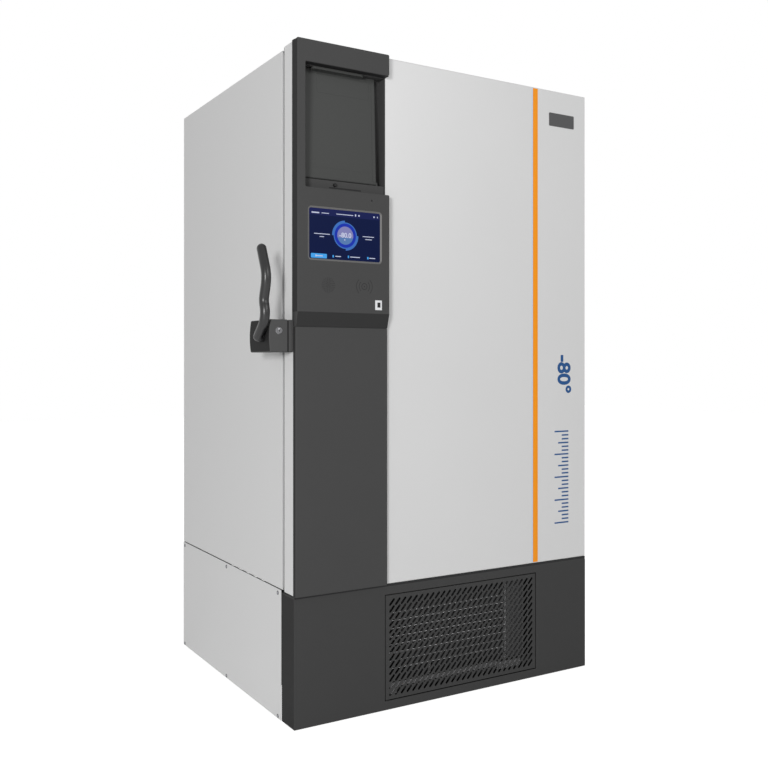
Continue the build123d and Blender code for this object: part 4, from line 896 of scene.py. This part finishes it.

# Lower side panels: plain white sheets with round edges, screwed over the machine compartment's two sides.
# A black strip behind the gap above each is painted shade, for the shade in the gap.
panel_bend = 0.0012
panel_thick = 0.0015
panel_low, panel_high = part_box("left_lower_panel")
panel_outline = rectangle((panel_low.y, panel_low.z), (panel_high.y, panel_high.z), 0.002)
panel_faces = (("left", shell_low.x - panel_thick, 1), ("right", shell_high.x + panel_thick, -1))
for name, face, inward in panel_faces:
    rows = roll(panel_bend, face, inward) + [(0, face + inward * panel_thick)]
    sheet = prism(panel_outline, rows, side_view)
    side_panel = new_piece(f"{name}_side_panel", [sheet], cabinet_white, "cabinet")
    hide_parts(f"{name}_lower_panel")
seam_lows, seam_highs = [], []
for x in (shell_low.x + 0.0002, shell_high.x - 0.0010):
    seam_lows.append((x, panel_low.y + 0.002, panel_high.z - 0.006))
    seam_highs.append((x + 0.0008, panel_high.y - 0.002, shell_low.z - 0.0002))
new_piece("panel_gap_painted_shade", [boxes(seam_lows, seam_highs)], black_and_painted_shade, "cabinet")

# Pan-head screws of the lower side panels: twelve zinc-plated heads. Round each head a dark disc is painted
# shadow, for the shade the head casts, and its cross slots are black bars of painted shade for their
# hollows.
screw_zinc = coated("screw_zinc", tint(150, 152, 156), 0.34, 0.0006, 0.00003, 0.08, metallic=0.9)
screw_y = (panel_low.y + 0.023, (panel_low.y + panel_high.y) / 2, panel_high.y - 0.016)
screw_z = (panel_low.z + 0.007, panel_high.z - 0.012)
head_radius, shadow_radius = 0.0042, 0.0062
cross_long, cross_wide = 0.0022, 0.00045
head_turn = np.linspace(0.2, math.pi / 2, 7)
heads, shadow_discs, crosses = [], [], []
for _, face, inward in panel_faces:
    outward = -inward
    dome = [
        (head_radius * (1 - math.sin(t)), face + outward * (0.0002 + 0.0022 * math.cos(t)))
        for t in head_turn
    ]
    shadow_rows = [(0.0008, face + outward * 0.0007), (0, face)]
    low, high = sorted((face + outward * 0.0016, face + outward * 0.00245))
    for y in screw_y:
        for z in screw_z:
            head_rows = dome + [(0, face - outward * 0.001)]
            heads.append(prism(circle((y, z), head_radius, 24), head_rows, side_view))
            shadow_discs.append(prism(circle((y, z), shadow_radius, 24), shadow_rows, side_view))
            crosses.append(boxes(
                [(low, y - cross_long, z - cross_wide), (low, y - cross_wide, z - cross_long)],
                [(high, y + cross_long, z + cross_wide), (high, y + cross_wide, z + cross_long)],
            ))
pan_heads = new_piece("pan_heads", heads, screw_zinc, "cabinet")
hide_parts("panel_screws")
new_piece("screw_painted_shadows", shadow_discs, black_and_painted_shade, "cabinet")
new_piece("cross_slot_painted_shade", crosses, black_and_painted_shade, "cabinet")

# Main gasket: a soft grey ring of extruded rubber with three bellows folds, fixed on the door and squeezed
# between the door and the cabinet. Its grey is partly the rubber's own and partly painted shade, made darker
# for the shade in the seam.
gasket_low, gasket_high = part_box("door_gasket")
gasket_grey_and_painted_shade = coated("gasket_grey_and_painted_shade", tint(122, 123, 124), 0.6, 0.0009, 0.00008, 0.03)
fold_count = 3
fold_depth = (gasket_high.y - gasket_low.y) / fold_count
valley, inner_side = 0.0022, 0.0235
fold_rows = []
for fold in range(fold_count):
    start = gasket_low.y + fold * fold_depth
    fold_rows += [(valley, start), (0.0004, start + fold_depth * 0.25), (0, start + fold_depth * 0.5)]
    fold_rows += [(0.0004, start + fold_depth * 0.75)]
fold_rows += [(inwards, gasket_high.y) for inwards in (valley, inner_side)]
fold_rows += [(inwards, gasket_low.y) for inwards in (inner_side, valley)]
gasket_outline = rectangle((gasket_low.x, gasket_low.z), (gasket_high.x, gasket_high.z), 0.006)
gasket = new_piece(
    "bellows_gasket",
    [prism(gasket_outline, fold_rows, front_view, caps=(False, False))],
    gasket_grey_and_painted_shade, "outer_door", 60,
)
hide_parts("door_gasket")

# Round the door's back edge a black strip is painted shade: it stands in for the dark line of shade in the
# seam between door and cabinet. It is an extruded strip, laid along the skin's edge.
rim_outline = rectangle(
    (door_low.x + 0.001, door_low.z + 0.001), (door_high.x - 0.001, door_high.z - 0.001), 0.004
)
rim_y, rim_wide = (door_high.y, door_high.y + 0.0045), 0.004
rim_rows = [(0, rim_y[0]), (0, rim_y[1]), (rim_wide, rim_y[1]), (rim_wide, rim_y[0])]
new_piece(
    "door_seam_painted_shade",
    [prism(rim_outline, rim_rows, front_view, caps=(False, False))],
    black_and_painted_shade, "outer_door",
)

# On top of the base a black strip is painted shadow: it stands in for the shade in the gap under the door.
# It lies along the fascia, just below the door's lower edge.
new_piece(
    "door_gap_painted_shadow",
    [boxes(
        (fascia_low.x + 0.001, fascia_low.y - 0.0003, fascia_high.z - 0.0036),
        (fascia_high.x - 0.001, door_high.y, door_low.z - 0.0004),
    )],
    black_and_painted_shade, "cabinet",
)

# Grille door: a thin dark sheet pierced by slanting slots, with a folded edge and a hinge pin at its top and
# bottom. The slots are punched in a pattern of even rows and columns.
grille_low, grille_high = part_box("grille_door")
columns, rows_up = 27, 14
column_pitch, row_pitch = 0.0208, 0.021
slot_long, slot_wide = 0.0272, 0.0076
slot_slant = math.radians(48)
grille_z = (grille_low.z + 0.007, grille_high.z - 0.007)
grille_middle = ((grille_low.x + grille_high.x) / 2, (grille_z[0] + grille_z[1]) / 2)
end_turn = np.linspace(-math.pi / 2, math.pi / 2, 5)
slot_end = slot_wide / 2 * np.column_stack([np.cos(end_turn), np.sin(end_turn)])
slot_half = slot_end + (slot_long / 2 - slot_wide / 2, 0)
slant_cos, slant_sin = math.cos(slot_slant), math.sin(slot_slant)
slant = np.array([[slant_cos, slant_sin], [-slant_sin, slant_cos]])
slot_loop = np.concatenate([slot_half, -slot_half]) @ slant
slots = [
    slot_loop + grille_middle + ((i - (columns - 1) / 2) * column_pitch, (j - (rows_up - 1) / 2) * row_pitch)
    for i in range(columns)
    for j in range(rows_up)
]
base_dark = coated("base_dark", tint(71, 71, 71), 0.5, 0.0007, 0.00005, 0.03, shine=0.02)
grille_outline = rectangle((grille_low.x, grille_z[0]), (grille_high.x, grille_z[1]), 0.0015, 2)
sheet_back, fold_back = grille_low.y + 0.0010, grille_low.y + 0.014
grille_rows = [(0.0006, grille_low.y), (0, grille_low.y + 0.0006), (0, sheet_back)]
grille_fold = [(0, sheet_back), (0, fold_back), (0.0015, fold_back), (0.0015, sheet_back)]
pin_outline = circle((grille_low.x + 0.006, grille_low.y + 0.008), 0.0025, 16)
pin_ends = ((grille_low.z, grille_z[0] + 0.001), (grille_z[1] - 0.001, grille_high.z))
grille = new_piece(
    "slotted_grille",
    [
        prism(grille_outline, grille_rows, front_view, slots),
        prism(grille_outline, grille_fold, front_view, caps=(False, False)),
        *[slab(pin_outline, ends, plan_view) for ends in pin_ends],
    ],
    base_dark, "grille_door",
)
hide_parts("grille_door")

# Condenser behind the grille: thin aluminium fins between two plates, with hairpin tubes through them and
# the light wires that hold the fins in front. It stands on the drip pan, whose edge shows below it.
core_low, core_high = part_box("condenser")
plate = 0.0025
fin_half, fin_pitch = 0.00015, 0.0032
fin_dark = coated("fin_dark", tint(86, 87, 88), 0.6, 0.0008, 0.00004, 0.1, metallic=0.2)
plate_zinc = coated("plate_zinc", tint(205, 205, 206), 0.5, 0.0008, 0.00004, 0.08, metallic=0.2)
fin_at = np.arange(core_low.x + plate + 0.0016, core_high.x - plate, fin_pitch)
fin_rows = np.column_stack([
    fin_at - fin_half,
    np.full(len(fin_at), core_low.z + 0.012),
    fin_at + fin_half,
    np.full(len(fin_at), core_high.z - 0.002),
])
fins = strips(fin_rows, (core_low.y + 0.003, core_high.y - 0.003))
fin_pack = new_piece("fin_pack", [fins], fin_dark, "cabinet")
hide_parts("condenser")
wire_z = 0.090 + 0.0252 * np.arange(8)
tube_y = (core_low.y + 0.014, core_high.y - 0.014)
tube_x = (core_low.x - 0.008, core_high.x + 0.008)
wire_x = (core_low.x, core_high.x)
wires = [slab(circle((core_low.y + 0.0015, z), 0.0014, 10), wire_x, side_view) for z in wire_z]
tubes = [slab(circle((y, z), 0.005, 16), tube_x, side_view) for z in wire_z + 0.012 for y in tube_y]
wire_light = coated("wire_light", tint(235, 235, 236), 0.4, 0.0008, 0.00004, 0.04, metallic=0.1)
new_piece("fin_wires", wires, wire_light, "cabinet")
tube_copper = coated("tube_copper", tint(186, 118, 82), 0.36, 0.0008, 0.00004, 0.12, metallic=0.95)
new_piece("hairpin_tubes", tubes, tube_copper, "cabinet")
end_front = core_low.y - 0.001
end_plates = boxes(
    [(core_low.x, end_front, core_low.z), (core_high.x - plate, end_front, core_low.z)],
    [(core_low.x + plate, core_high.y, core_high.z), (core_high.x, core_high.y, core_high.z)],
)
new_piece("condenser_ends", [end_plates], plate_zinc, "cabinet")
bay_black = coated("bay_black", tint(26, 26, 27), 0.7, 0.0012, 0.00008, 0.06)
new_piece(
    "air_baffles",
    [boxes(
        [(-0.36, -0.478, 0.010), (-0.36, core_high.y - 0.01, core_high.z), (0.44, -0.476, 0.008)],
        [(0.44, -0.30, 0.012), (0.44, core_high.y - 0.008, 0.375), (0.442, -0.30, 0.375)],
    )],
    bay_black, "cabinet",
)
side_grey = coated("side_grey", tint(112, 112, 113), 0.6, 0.0008, 0.00004, 0.06)
new_piece(
    "side_shield",
    [boxes(
        (core_high.x + 0.001, core_low.y + 0.004, 0.052), (0.402, core_low.y + 0.006, core_high.z - 0.01)
    )],
    side_grey, "cabinet",
)
tray_grey = coated("tray_grey", tint(158, 158, 159), 0.6, 0.0008, 0.00004, 0.06)
pan_rows = [(-0.190, 0.066, 0.2206, 0.079), (0.2206, 0.0515, 0.317, 0.074), (-0.190, 0.045, -0.165, 0.066)]
new_piece("pan_edge", [strips(pan_rows, (-0.468, -0.466))], tray_grey, "cabinet")
drain_outline = circle((0.006, core_low.y - 0.004), 0.0045, 16)
drain_rows = [(0.001, 0.058), (0, 0.060), (0, 0.088), (0.002, 0.092)]
fitting_bright = coated("fitting_bright", tint(214, 214, 212), 0.3, 0.0008, 0.00003, 0.06, metallic=0.6)
new_piece("drain_fitting", [prism(drain_outline, drain_rows, plan_view)], fitting_bright, "cabinet")

# The CAD parts that keep their own shape are given finishes here, with their edges broken a little.
# Sheet parts are coated or brushed, rubber is matt, plastic has a fine grain, and metal fittings are satin.
finishes = {
    "white_sheet": cabinet_white,
    "foam": coated("rigid_foam", tint(214, 196, 150), 0.85, 0.0016, 0.0004, 0.08),
    "stainless": coated(
        "brushed_steel", tint(196, 198, 202), 0.32, 0.0004, 0.00003, 0.06, 0.95, stretch=(1, 1, 14)
    ),
    "dark_sheet": base_dark,
    "dark_plastic": dark_coat,
    "black_plastic": coated("black_plastic", tint(30, 30, 31), 0.45, 0.0008, 0.00006, 0.05),
    "white_plastic": coated("white_plastic", tint(222, 223, 225), 0.45, 0.0012, 0.00005, 0.02),
    "seal_rubber": gasket_grey_and_painted_shade,
    "black_rubber": coated("black_rubber", tint(30, 30, 32), 0.7, 0.0009, 0.0001, 0.06),
    "copper": coated("copper_tube", tint(196, 124, 84), 0.34, 0.0007, 0.00004, 0.12, 0.95),
    "black_iron": coated("black_enamel", tint(26, 26, 28), 0.4, 0.0012, 0.0001, 0.08),
    "zinc": coated("zinc_plate", tint(172, 173, 175), 0.36, 0.0009, 0.00004, 0.1, 0.9),
    "bare_aluminium": coated("bare_aluminium", tint(190, 192, 196), 0.36, 0.0006, 0.00004, 0.06, 0.9),
    "inner_door": coated("inner_door_skin", tint(228, 230, 234), 0.4, 0.0011, 0.00006, 0.02),
}


def dressed(name, finish, edge):
    """A CAD part with a finish: triangles joined, sharper edges rounded, and bends shaded evenly."""
    part = frame["nodes"][name]
    part.data.materials.clear()
    part.data.materials.append(finish)
    part.data.shade_smooth()
    if edge:
        part.modifiers.new("joined", "WELD").merge_threshold = 1e-5
        rounding = part.modifiers.new("broken_edges", "BEVEL")
        rounding.limit_method = "ANGLE"
        rounding.angle_limit = math.radians(40)
        rounding.width = edge
        rounding.segments = 2
        part.modifiers.new("flat_faces_stay_flat", "WEIGHTED_NORMAL")
    else:
        part.data.set_sharp_from_angle(angle=math.radians(30))


lever_black = coated("lever_black", tint(16, 16, 17), 0.3, 0.0008, 0.00002, 0.04, shine=0.5)
own_finish = {"handle_lever": lever_black, "latch_base": latch_dark}
edges = {"front_fascia": 0.0008, "door_inner_panel": 0.004, "rear_lower_panel": 0}
for part in frame["record"]["subparts"]:
    if not frame["nodes"][part["node"]].hide_render:
        finish = own_finish.get(part["node"], finishes[part["material_slot"]])
        dressed(part["node"], finish, edges.get(part["node"], 0.0006))
